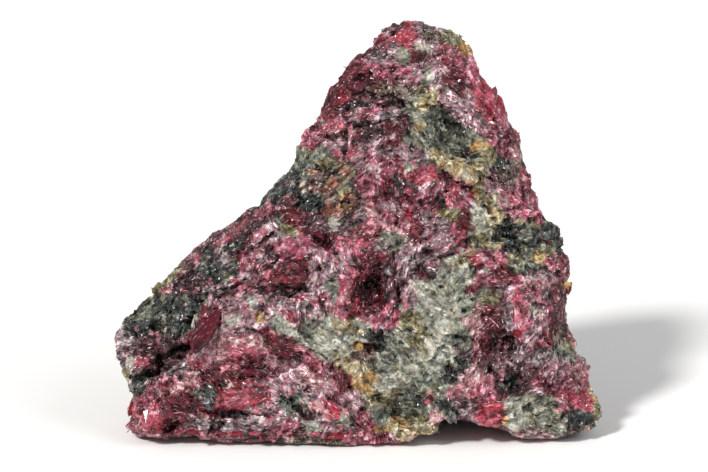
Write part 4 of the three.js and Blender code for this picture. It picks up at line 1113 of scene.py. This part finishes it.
def dress_mesh(mesh, points, anchors, hollow, inside, tone):
    """Stores what the stone's material reads besides the minerals."""
    for name, values in (("hollow", hollow), ("inside", inside), ("grain_tone", tone)):
        set_attribute(mesh, name, "FLOAT", values)
    for name, streaks in (("streaks", MAIN_STREAKS), ("cross_streaks", CROSS_STREAKS)):
        set_attribute(mesh, name, "FLOAT_VECTOR", streak_places(points, anchors, **streaks))


def dress_skin(mesh, whole, points, triangles, edges):
    """Finds the skin's hollows, which get painted shade, and grains. The grains are those that broke the
    whole points.
    """
    normals = outward(points, triangles)
    hollow = np.zeros(len(points))
    for rounds, full in HOLLOWS:
        depth = np.einsum("ij,ij->i", evened(points, edges, rounds) - points, normals)
        hollow += np.clip(depth / full, -1, 1) / len(HOLLOWS)
    size, _, seed = GRAIN_LAYERS[1]
    _, grain, border = grain_cells(whole, size, seed)
    inside = evened(smoothstep(border, *GRAIN_RIM)[:, None], edges, 1)[:, 0]
    tone = evened(LEAST_TONE + SKIN_TONES * grain[:, 7:8], edges, 1)[:, 0]
    dress_mesh(mesh, whole, whole, hollow, inside, tone)


def chip_shapes(seed, count, corners):
    """Convex chips with flat faces, one unit in radius: the corners and triangles of each."""
    rng = np.random.default_rng(seed)
    shapes = []
    for _ in range(count):
        spots = rng.normal(size=(corners, 3))
        spots *= rng.uniform(*CHIP_REACH, (corners, 1)) / np.linalg.norm(spots, axis=1, keepdims=True)
        hull = bmesh.new()
        for spot in spots:
            hull.verts.new(spot)
        bmesh.ops.convex_hull(hull, input=hull.verts)
        bmesh.ops.delete(hull, geom=[v for v in hull.verts if not v.link_faces], context="VERTS")
        bmesh.ops.recalc_face_normals(hull, faces=hull.faces)
        hull.verts.index_update()
        found = np.array([v.co[:] for v in hull.verts])
        shapes.append((found, np.array([[v.index for v in f.verts] for f in hull.faces])))
        hull.free()
    return shapes


def chips_mesh(name, middles, towards, along, sizes, shapes, rng):
    """One mesh of many chips, from each one's middle, outward way, long way and half sizes."""
    points, triangles, owners = [], [], []
    start = 0
    side = np.cross(towards, along)
    side /= np.linalg.norm(side, axis=1, keepdims=True)
    along = np.cross(side, towards)
    picks = rng.integers(len(shapes), size=len(middles))
    for i, middle in enumerate(middles):
        corners, faces = shapes[picks[i]]
        axes = np.stack((along[i], side[i], towards[i])) * sizes[i][:, None]
        points.append(middle + corners @ axes)
        triangles.append(faces + start)
        owners.append(np.full(len(corners), i))
        start += len(corners)
    points = np.concatenate(points)
    points[:, 2] = np.maximum(points[:, 2], 0)
    mesh = bpy.data.meshes.new(name)
    mesh.from_pydata(points * MM, [], np.concatenate(triangles).tolist())
    return mesh, points, np.concatenate(owners)


def add_chips(context, name, mesh, points, middles, owners, chosen, values, hollow):
    """Dresses a mesh of chips with the stone's material and adds it to the scene."""
    picked, drawn = chosen[owners], values[owners]
    store_minerals(mesh, picked, drawn, context.scene.specimen_colours)
    tone = LEAST_TONE + CHIP_TONES * drawn[:, 4]
    dress_mesh(mesh, points, middles[owners], np.full(len(points), hollow), np.ones(len(points)), tone)
    chips = bpy.data.objects.new(name, mesh)
    context.scene.collection.objects.link(chips)
    mesh.materials.append(bpy.data.materials[ROCK])
    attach(chips, "root")
    print(name, len(middles), "chips", len(mesh.polygons), "triangles")


def face_way(turn):
    """The way along the face that a turn in degrees points to, as unit vectors in the model."""
    angle = np.radians(turn)
    lift = np.sin(angle)
    return np.stack((np.cos(angle), lift * math.sin(FACE_LEAN), lift * math.cos(FACE_LEAN)), axis=-1)


def surface_samples(rng, count):
    """Places spread evenly over the skin above its foot, with the way out of the skin at each."""
    mesh = bpy.data.objects[SKIN].data
    points, triangles = mesh_points(mesh), mesh_triangles(mesh)
    normals = outward(evened(points, mesh_edges(mesh), rounds=3), triangles)
    a, b, c = (points[triangles[:, i]] for i in range(3))
    area = np.linalg.norm(np.cross(b - a, c - a), axis=1)
    picks = rng.choice(len(triangles), count, p=area / area.sum())
    places = (a[picks] + b[picks] + c[picks]) / 3
    ways = normals[triangles[picks, 0]]
    keep = (places[:, 2] > FOOT_CLEAR) & (ways[:, 2] > LOWEST_FACING)
    return places[keep], ways[keep]


def feed(tree, socket, value):
    """Links another node's output to an input socket, or sets the socket to a value."""
    if isinstance(value, bpy.types.NodeSocket):
        tree.links.new(value, socket)
    elif value is not None:
        socket.default_value = value


def add_node(tree, kind, inputs=None, **settings):
    """Adds a shader node with its settings. Inputs are sockets or values, by name or by number."""
    node = tree.nodes.new(kind)
    for name, value in settings.items():
        setattr(node, name, value)
    for name, value in (inputs or {}).items():
        feed(tree, node.inputs[name], value)
    return node


def math_node(tree, operation, first, second=None):
    """A maths node whose inputs are sockets or numbers. Returns its output."""
    return add_node(tree, "ShaderNodeMath", {0: first, 1: second}, operation=operation).outputs[0]


def times(tree, first, second):
    """The product of sockets or numbers."""
    return math_node(tree, "MULTIPLY", first, second)


def vector_node(tree, operation, first, second=None, scale=None):
    """A vector maths node whose inputs are sockets or values. Returns its output."""
    inputs = {0: first, 1: second, 3: scale}
    return add_node(tree, "ShaderNodeVectorMath", inputs, operation=operation).outputs[0]


def mix_colour(tree, share, first, second):
    """Mixes a share of the second colour into the first. Returns the output."""
    return add_node(tree, "ShaderNodeMix", {0: share, 6: first, 7: second}, data_type="RGBA").outputs[2]


def map_range(tree, value, low, high, start, end, steps="LINEAR"):
    """Maps a value from one range to another. Returns the output."""
    inputs = dict(enumerate((value, low, high, start, end)))
    return add_node(tree, "ShaderNodeMapRange", inputs, interpolation_type=steps).outputs[0]


def colour_parts(tree, colour):
    """The parts of a colour, as outputs."""
    return add_node(tree, "ShaderNodeSeparateColor", {0: colour}).outputs


def soft_texture(tree, where, fineness, detail, roughness=0.5, distortion=0):
    """Soft noise. Returns its outputs."""
    inputs = {
        "Vector": where, "Scale": fineness, "Detail": detail, "Roughness": roughness,
        "Distortion": distortion,
    }
    return add_node(tree, "ShaderNodeTexNoise", inputs).outputs


def cells(tree, where, feature="F1"):
    """Random cells one unit wide. Returns the outputs."""
    inputs = {"Vector": where, "Scale": 1}
    return add_node(tree, "ShaderNodeTexVoronoi", inputs, feature=feature).outputs


def cell_count(tree, start):
    """The place, counted in cells of the group's size."""
    return vector_node(tree, "SCALE", start["Vector"], scale=math_node(tree, "DIVIDE", 1, start["Size"]))


def drifted(tree, start):
    """The place counted in cells, moved on by the group's drift."""
    shift = add_node(tree, "ShaderNodeCombineXYZ", dict.fromkeys(range(3), start["Drift"]))
    return vector_node(tree, "ADD", cell_count(tree, start), shift.outputs[0])


def grain_facets(tree, start):
    """Leans the normal of each small grain its own way."""
    lean = vector_node(tree, "SUBTRACT", cells(tree, drifted(tree, start))["Color"], (0.5, 0.5, 0.5))
    leaned = vector_node(tree, "SCALE", lean, scale=times(tree, start["Tilt"], 2))
    return [vector_node(tree, "NORMALIZE", vector_node(tree, "ADD", leaned, start["Normal"]))]


def flecks(tree, start):
    """Picks a share of small cells, and gives each cell a steady random value."""
    parts = colour_parts(tree, cells(tree, drifted(tree, start))["Color"])
    return math_node(tree, "LESS_THAN", parts[0], start["Share"]), parts[1]


def threads(tree, start):
    """Thin broken threads, where soft noise passes through its middle value."""
    noise = soft_texture(tree, start["Vector"], start["Fineness"], 1.2, 0.5, 0.6)["Fac"]
    apart = math_node(tree, "ABSOLUTE", math_node(tree, "SUBTRACT", noise, 0.5))
    core = times(tree, start["Width"], 0.45)
    return map_range(tree, apart, core, start["Width"], 1, 0, "SMOOTHSTEP"), noise


def blotches(tree, start):
    """Soft blotches: nothing below the level, full a little above it."""
    noise = soft_texture(tree, start["Vector"], start["Fineness"], 3, 0.65)["Fac"]
    full = math_node(tree, "ADD", start["Level"], 0.09)
    return [map_range(tree, noise, start["Level"], full, 0, 1, "SMOOTHSTEP")]


def seams(tree, start):
    """Wavy seams between neighbouring grains, and a steady random value for each grain."""
    scaled = cell_count(tree, start)
    ripple = soft_texture(tree, scaled, 1.6, 2)["Color"]
    wavy = vector_node(tree, "ADD", scaled, vector_node(tree, "SCALE", ripple, scale=1.3))
    border = cells(tree, wavy, "DISTANCE_TO_EDGE")["Distance"]
    mask = map_range(tree, border, 0, start["Width"], 1, 0, "SMOOTHSTEP")
    return mask, colour_parts(tree, cells(tree, wavy)["Color"])[0]


# The shared groups: the usual values of their inputs, the names of their outputs, and what makes them.
# Sockets named in VECTORS carry vectors, and all others numbers.
VECTORS = ("Vector", "Normal")
GROUPS = {
    "Grain facets": (dict(Vector=None, Size=0.4, Drift=0, Tilt=0.4, Normal=None), ["Normal"], grain_facets),
    "Flecks": (dict(Vector=None, Size=0.2, Drift=0, Share=0.2), ["Mask", "Value"], flecks),
    "Threads": (dict(Vector=None, Fineness=2, Width=0.04), ["Mask", "Noise"], threads),
    "Blotches": (dict(Vector=None, Fineness=1, Level=0.5), ["Mask"], blotches),
    "Seams": (dict(Vector=None, Size=1, Width=0.1), ["Mask", "Value"], seams),
}
COLUMN_WIDTH = 200
ROW_HEIGHT = 180


def add_socket(group, name, way, value=None):
    """Adds a named input or output to a node group."""
    kind = "NodeSocketVector" if name in VECTORS else "NodeSocketFloat"
    socket = group.interface.new_socket(name, in_out=way, socket_type=kind)
    if value is not None:
        socket.default_value = value


def new_group(name):
    """Makes one of the shared shader node groups."""
    inputs, outputs, make = GROUPS[name]
    group = bpy.data.node_groups.new(name, "ShaderNodeTree")
    for label, value in inputs.items():
        add_socket(group, label, "INPUT", value)
    for label in outputs:
        add_socket(group, label, "OUTPUT")
    start = add_node(group, "NodeGroupInput").outputs
    add_node(group, "NodeGroupOutput", dict(zip(outputs, make(group, start))))
    lay_out(group)
    return group


def place_group(tree, name, **values):
    """Adds a copy of a shared group, whose inputs are sockets or numbers. Returns its outputs."""
    group = bpy.data.node_groups.get(name) or new_group(name)
    return add_node(tree, "ShaderNodeGroup", values, node_tree=group).outputs


def lay_out(tree):
    """Sets the nodes in columns, each one left of those that it feeds."""
    column = {node.name: 0 for node in tree.nodes}
    for _ in tree.nodes:
        for link in tree.links:
            start, end = link.from_node.name, link.to_node.name
            column[start] = max(column[start], column[end] + 1)
    rows = {}
    for node in tree.nodes:
        place = column[node.name]
        rows[place] = rows.get(place, 0) + 1
        node.location = (-COLUMN_WIDTH * place, -ROW_HEIGHT * rows[place])


# What the stone's material reads from its meshes, by the output that it comes out of
MESH_VALUES = {
    "Color": ("mineral_colour", "light_colour", "deep_colour"),
    "Fac": (*FINISHES[:-1], "hollow", "inside", "grain_tone"),
    "Vector": ("streaks", "cross_streaks"),
}


def mesh_values(tree):
    """Reads what is stored on the mesh, and the place on the stone in mm. Returns outputs by name."""
    found = {}
    for output, names in MESH_VALUES.items():
        for name in names:
            found[name] = add_node(tree, "ShaderNodeAttribute", attribute_name=name).outputs[output]
    place = add_node(tree, "ShaderNodeTexCoord").outputs["Object"]
    found["place"] = vector_node(tree, "SCALE", place, scale=1 / MM)
    return found


def grain_colour(tree, read, facets):
    """The mineral's colour, lighter or darker from grain to grain and from speckle to speckle."""
    speckle = place_group(tree, "Flecks", Vector=read["cross_streaks"], Size=0.17, Share=1, Drift=3.7)
    by_facet = times(tree, read["grain_tone"], map_range(tree, facets["Value"], 0, 1, 0.35, 1.35))
    by_speckle = times(tree, by_facet, map_range(tree, speckle["Value"], 0, 1, 0.75, 1.25))
    swing = times(tree, math_node(tree, "SUBTRACT", by_speckle, 1), read["busy"])
    tone = math_node(tree, "ADD", swing, 1)
    limited = math_node(tree, "MINIMUM", math_node(tree, "MAXIMUM", tone, 0.08), 1.15)
    varied = vector_node(tree, "SCALE", read["mineral_colour"], scale=limited)
    return mix_colour(tree, map_range(tree, tone, 1.1, 2.2, 0, 0.35), varied, read["light_colour"])


def darkened(tree, read, colour):
    """The colour with dark blotches, fuller inside the grains, and dark flecks."""
    deep = place_group(tree, "Blotches", Vector=read["streaks"], Fineness=0.7, Level=0.5)["Mask"]
    deep_share = times(tree, deep, map_range(tree, read["inside"], 0, 1, 0.3, 0.95))
    blotched = mix_colour(tree, deep_share, colour, read["deep_colour"])
    soot = place_group(
        tree, "Flecks", Vector=read["cross_streaks"], Size=0.2, Share=read["soot"], Drift=9.1)["Mask"]
    return mix_colour(tree, times(tree, soot, 0.85), blotched, read["deep_colour"])


def threaded(tree, read, colour, masks):
    """The colour under broken pale threads, most of them at the rims of the grains."""
    every = masks[0]
    for mask in masks[1:]:
        every = math_node(tree, "MAXIMUM", every, mask)
    gaps = place_group(tree, "Blotches", Vector=read["cross_streaks"], Fineness=0.6, Level=0.47)["Mask"]
    broken = times(tree, every, map_range(tree, gaps, 0, 1, 0.3, 1))
    rimmed = times(tree, broken, map_range(tree, read["inside"], 0, 1, 1.5, 0.55))
    share = math_node(tree, "MINIMUM", times(tree, rimmed, read["frost"]), 1)
    return mix_colour(tree, share, colour, read["light_colour"])


def painted_glints_and_shade(tree, read, colour, speck_and_painted_glint):
    """The colour with the smallest sparks, white specks that are partly painted glints, then painted shade:
    darker in hollows, and lighter on edges as a painted highlight.
    """
    # Painted glints, partly white specks: a small share of fine streak cells turns to the glint colour,
    # more on frosty minerals
    speck_and_painted_glint_mask = place_group(tree, "Flecks", Vector=read["streaks"], Size=0.08, Share=0.035, Drift=5.3)["Mask"]
    with_specks_and_painted_glints = mix_colour(tree, times(tree, speck_and_painted_glint_mask, read["frost"]), colour, (*speck_and_painted_glint, 1))
    # Painted shade and highlight: the colour is scaled from 1.4 on ridges down to 0.1 in the deepest
    # hollows
    return vector_node(tree, "SCALE", with_specks_and_painted_glints, scale=map_range(tree, read["hollow"], -0.6, 0.8, 1.4, 0.1))


def grain_normal(tree, read, height):
    """Small bumps along the threads, and small facets that lean their own ways."""
    bump = add_node(
        tree, "ShaderNodeBump", {"Strength": 0.6, "Distance": 0.12 * MM, "Height": times(tree, height, 4)})
    tilt = times(tree, read["tilt"], 0.5)
    normal = bump.outputs[0]
    for size in (0.33, 0.15):
        normal = place_group(
            tree, "Grain facets", Vector=read["place"], Size=size, Tilt=tilt, Normal=normal)["Normal"]
    return normal


def stone_material(colours):
    """Broken mineral grains: colour by mineral, dark blotches, pale threads, speckle, painted glints,
    painted shade in hollows, and glossy flecks.
    """
    material = bpy.data.materials.new(ROCK)
    material.use_nodes = True
    tree = material.node_tree
    read = mesh_values(tree)
    facets = place_group(tree, "Seams", Vector=read["streaks"], Size=0.36, Width=0.1)
    lines = place_group(tree, "Threads", Vector=read["streaks"], Fineness=1, Width=0.06)
    hairs = place_group(tree, "Threads", Vector=read["cross_streaks"], Fineness=0.95, Width=0.06)
    tangle = place_group(tree, "Threads", Vector=read["place"], Fineness=1.2, Width=0.05)
    pale = (
        lines["Mask"], hairs["Mask"], times(tree, tangle["Mask"], 0.8), times(tree, facets["Mask"], 0.5),
    )
    colour = darkened(tree, read, grain_colour(tree, read, facets))
    # Painted glints, then painted shade in hollows with painted highlights on ridges
    colour = painted_glints_and_shade(tree, read, threaded(tree, read, colour, pale), colours.speck_and_painted_glint)
    glints = place_group(tree, "Flecks", Vector=read["place"], Size=0.3, Share=0.25, Drift=7.7)["Mask"]
    height = math_node(tree, "ADD", lines["Noise"], times(tree, hairs["Noise"], 0.5))
    finish = {
        "Base Color": colour,
        "Roughness": times(tree, read["rough"], map_range(tree, glints, 0, 1, 1, 0.4)),
        "Coat Weight": read["glass"],
        "Coat Roughness": 0.08,
        "Coat IOR": 1.35,
        "IOR": 1.5,
        "Specular IOR Level": 0.18,
        "Normal": grain_normal(tree, read, height),
    }
    shader = tree.nodes["Principled BSDF"]
    for name, value in finish.items():
        feed(tree, shader.inputs[name], value)
    lay_out(tree)
    return material


class SPECIMEN_OT_build_skin(bpy.types.Operator):
    """Builds the fine broken skin of the stone in place of the plain solid"""

    bl_idname = "specimen.build_skin"
    bl_label = "Broken skin"

    def execute(self, context):
        scene = context.scene
        sizes, colours = scene.specimen_sizes, scene.specimen_colours
        face = FaceMap()
        mesh = net_mesh(face)
        if not mesh.polygons:
            raise RuntimeError("the stone has no surface inside the net's reach")
        split_finer(mesh)
        points, triangles, edges = mesh_points(mesh), mesh_triangles(mesh), mesh_edges(mesh)
        points = drawn_to_stone(points, edges, face)
        points = drawn_to_solid(points, edges, face)
        normals = outward(points, triangles)
        chosen, values = mineral_fields(points)
        broken = mineral_values(chosen, "broken") * sizes.relief
        whole = points
        points = whole + normals * grain_relief(whole, to_face(whole), broken)[:, None]
        points[:, 2] = np.maximum(points[:, 2], 0)
        mesh.vertices.foreach_set("co", (points * MM).astype(np.float32).ravel())
        mesh.update()
        store_minerals(mesh, chosen, values, colours, edges)
        dress_skin(mesh, whole, points, triangles, edges)
        skin = bpy.data.objects.new(SKIN, mesh)
        scene.collection.objects.link(skin)
        mesh.materials.append(stone_material(colours))
        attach(skin, "root")
        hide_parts(STONE)
        print("skin triangles", len(mesh.polygons))
        return {"FINISHED"}


class SPECIMEN_OT_build_crystals(bpy.types.Operator):
    """Sets the single crystals and glassy chips that stand out of the broken face"""

    bl_idname = "specimen.build_crystals"
    bl_label = "Crystals"

    def execute(self, context):
        mesh = bpy.data.objects[SKIN].data
        tree = BVHTree.FromPolygons(mesh_points(mesh).tolist(), mesh_triangles(mesh).tolist())
        into = Vector(from_face(np.array([(0, 0, 1.0)]))[0] - from_face(np.zeros((1, 3)))[0])
        middles, sizes, along, chosen = [], [], [], []
        for mineral, group in CRYSTALS.items():
            for across, up, half_long, half_wide, turn, proud in group:
                start = from_face(np.array([(across, up, CRYSTAL_START)]))[0]
                hit = tree.ray_cast(Vector(start), into)[0]
                if hit is None:
                    raise RuntimeError("a crystal misses the stone: %s %s" % (across, up))
                thick = CRYSTAL_THICK * half_wide
                middles.append(np.array(hit + into * (thick - proud)))
                sizes.append((half_long, half_wide, thick))
                along.append(face_way(turn))
                chosen.append(MINERAL_NAMES.index(mineral))
        middles, sizes, along = np.array(middles), np.array(sizes), np.array(along)
        rng = np.random.default_rng(CRYSTAL_SEED)
        towards = rng.uniform(-CRYSTAL_LEAN, CRYSTAL_LEAN, middles.shape) - np.array(into)
        towards /= np.linalg.norm(towards, axis=1, keepdims=True)
        shapes = chip_shapes(CRYSTAL_SEED, CRYSTAL_SHAPES, CRYSTAL_CORNERS)
        mesh, points, owners = chips_mesh("eudialyte_crystals", middles, towards, along, sizes, shapes, rng)
        least, spread = CRYSTAL_VALUES
        values = rng.random((len(middles), GRAIN_VALUES)) * spread + least
        chosen = np.array(chosen)
        add_chips(context, mesh.name, mesh, points, middles, owners, chosen, values, CRYSTAL_HOLLOW)
        return {"FINISHED"}


class SPECIMEN_OT_build_grains(bpy.types.Operator):
    """Scatters the small grains and prisms of each mineral over the broken skin"""

    bl_idname = "specimen.build_grains"
    bl_label = "Small grains"

    def execute(self, context):
        for name, grains in GRAIN_PIECES.items():
            rng = np.random.default_rng(grains["seed"])
            places, ways = surface_samples(rng, grains["tries"])
            found, _ = mineral_fields(places)
            keep = np.isin(found, [MINERAL_NAMES.index(mineral) for mineral in grains["on"]])
            places, ways, found = places[keep], ways[keep], found[keep]
            if not len(places):
                raise RuntimeError("no place for the grains of " + name)
            total = len(places)
            scale = rng.lognormal(0, SIZE_SPREAD, (total, 1))
            sizes = np.array(grains["size"]) * scale * rng.uniform(*SIDE_SPREAD, (total, 3))
            towards = ways + rng.uniform(-GRAIN_LEAN, GRAIN_LEAN, (total, 3))
            towards /= np.linalg.norm(towards, axis=1, keepdims=True)
            turned = rng.uniform(-grains["turned"], grains["turned"], total)
            along = face_way(streak_turn(to_face(places)) + turned)
            middles = places - GRAIN_SUNK * ways * sizes[:, 2:3]
            shapes = chip_shapes(grains["seed"], GRAIN_SHAPES, grains["corners"])
            mesh, points, owners = chips_mesh(name, middles, towards, along, sizes, shapes, rng)
            if "made_of" in grains:
                found = rng.choice([MINERAL_NAMES.index(mineral) for mineral in grains["made_of"]], total)
            values = rng.random((total, GRAIN_VALUES))
            add_chips(context, name, mesh, points, middles, owners, found, values, GRAIN_HOLLOW)
        return {"FINISHED"}


def add_sun(name, strength, spread, towards, colour):
    """A soft sun that shines along a direction, with its spread in degrees."""
    light = bpy.data.lights.new(name, "SUN")
    light.energy = strength
    light.angle = math.radians(spread)
    light.color = colour
    sun = bpy.data.objects.new(name, light)
    sun.rotation_euler = Vector(towards).to_track_quat("-Z", "Y").to_euler()
    bpy.context.scene.collection.objects.link(sun)


class SPECIMEN_OT_build_studio(bpy.types.Operator):
    """Builds the pale floor, the soft light and the camera"""

    bl_idname = "specimen.build_studio"
    bl_label = "Studio"

    def execute(self, context):
        scene = context.scene
        studio = scene.specimen_studio
        self.add_floor(scene, studio)
        self.add_sky(scene, studio)
        add_sun("key", studio.key_strength, 9, (0.55, 0.62, -0.75), (1, 0.985, 0.96))
        add_sun("fill", studio.fill_strength, 30, (-0.7, 0.35, -0.6), (0.96, 0.98, 1))
        self.add_camera(scene, studio)
        scene.view_settings.view_transform = "Standard"
        scene.cycles.pixel_filter_width = 1.0
        return {"FINISHED"}

    def add_floor(self, scene, studio):
        half = 2500 * MM
        corners = [(-half, -half, 0), (half, -half, 0), (half, half, 0), (-half, half, 0)]
        mesh = bpy.data.meshes.new("pale_floor")
        mesh.from_pydata(corners, [], [(0, 1, 2, 3)])
        floor = bpy.data.objects.new("pale_floor", mesh)
        material = bpy.data.materials.new("pale floor")
        material.use_nodes = True
        shader = material.node_tree.nodes["Principled BSDF"]
        shader.inputs["Base Color"].default_value = (*studio.floor_colour, 1)
        shader.inputs["Roughness"].default_value = 1
        shader.inputs["Specular IOR Level"].default_value = 0
        mesh.materials.append(material)
        scene.collection.objects.link(floor)

    def add_sky(self, scene, studio):
        sky = bpy.data.worlds.new("soft sky")
        sky.use_nodes = True
        background = sky.node_tree.nodes["Background"]
        background.inputs["Color"].default_value = (1, 1, 1, 1)
        background.inputs["Strength"].default_value = studio.sky_strength
        scene.world = sky

    def add_camera(self, scene, studio):
        picture_middle = np.array((-0.49, 26.83))
        picture_width = 86.34
        sharp_deep = 5.0
        lens = bpy.data.cameras.new("camera")
        lens.lens = studio.lens
        distance = picture_width * lens.lens / lens.sensor_width
        place = from_face(np.array([(*picture_middle, sharp_deep - distance)]))[0]
        camera = bpy.data.objects.new("camera", lens)
        camera.location = place * MM
        camera.rotation_euler = (math.pi / 2 - FACE_LEAN, 0, 0)
        lens.clip_start = 0.01
        scene.collection.objects.link(camera)
        scene.camera = camera


class SPECIMEN_PT_panel(bpy.types.Panel):
    """Lists the specimen's pieces, colours and studio"""

    bl_idname = "SPECIMEN_PT_panel"
    bl_label = "Eudialyte specimen"
    bl_space_type = "VIEW_3D"
    bl_region_type = "UI"
    bl_category = "Specimen"

    def draw(self, context):
        layout = self.layout
        for operator in OPERATORS:
            layout.operator(operator.bl_idname)
        for group, settings in SETTINGS.items():
            box = layout.box()
            for name in settings.__annotations__:
                box.prop(getattr(context.scene, group), name)


SETTINGS = {
    "specimen_sizes": StoneSizes,
    "specimen_colours": MineralColours,
    "specimen_studio": StudioSettings,
}
OPERATORS = (
    SPECIMEN_OT_build_skin, SPECIMEN_OT_build_crystals, SPECIMEN_OT_build_grains, SPECIMEN_OT_build_studio,
)


def register():
    """Registers the settings, the operators and the panel."""
    for name, settings in SETTINGS.items():
        bpy.utils.register_class(settings)
        setattr(bpy.types.Scene, name, PointerProperty(type=settings))
    for cls in (*OPERATORS, SPECIMEN_PT_panel):
        bpy.utils.register_class(cls)


def unregister():
    """Takes back what register did."""
    for cls in (SPECIMEN_PT_panel, *reversed(OPERATORS)):
        bpy.utils.unregister_class(cls)
    for name, settings in SETTINGS.items():
        delattr(bpy.types.Scene, name)
        bpy.utils.unregister_class(settings)


def main():
    """Builds the specimen and its studio."""
    register()
    bpy.ops.specimen.build_skin()
    bpy.ops.specimen.build_crystals()
    bpy.ops.specimen.build_grains()
    bpy.ops.specimen.build_studio()


if __name__ == "__main__":
    main()
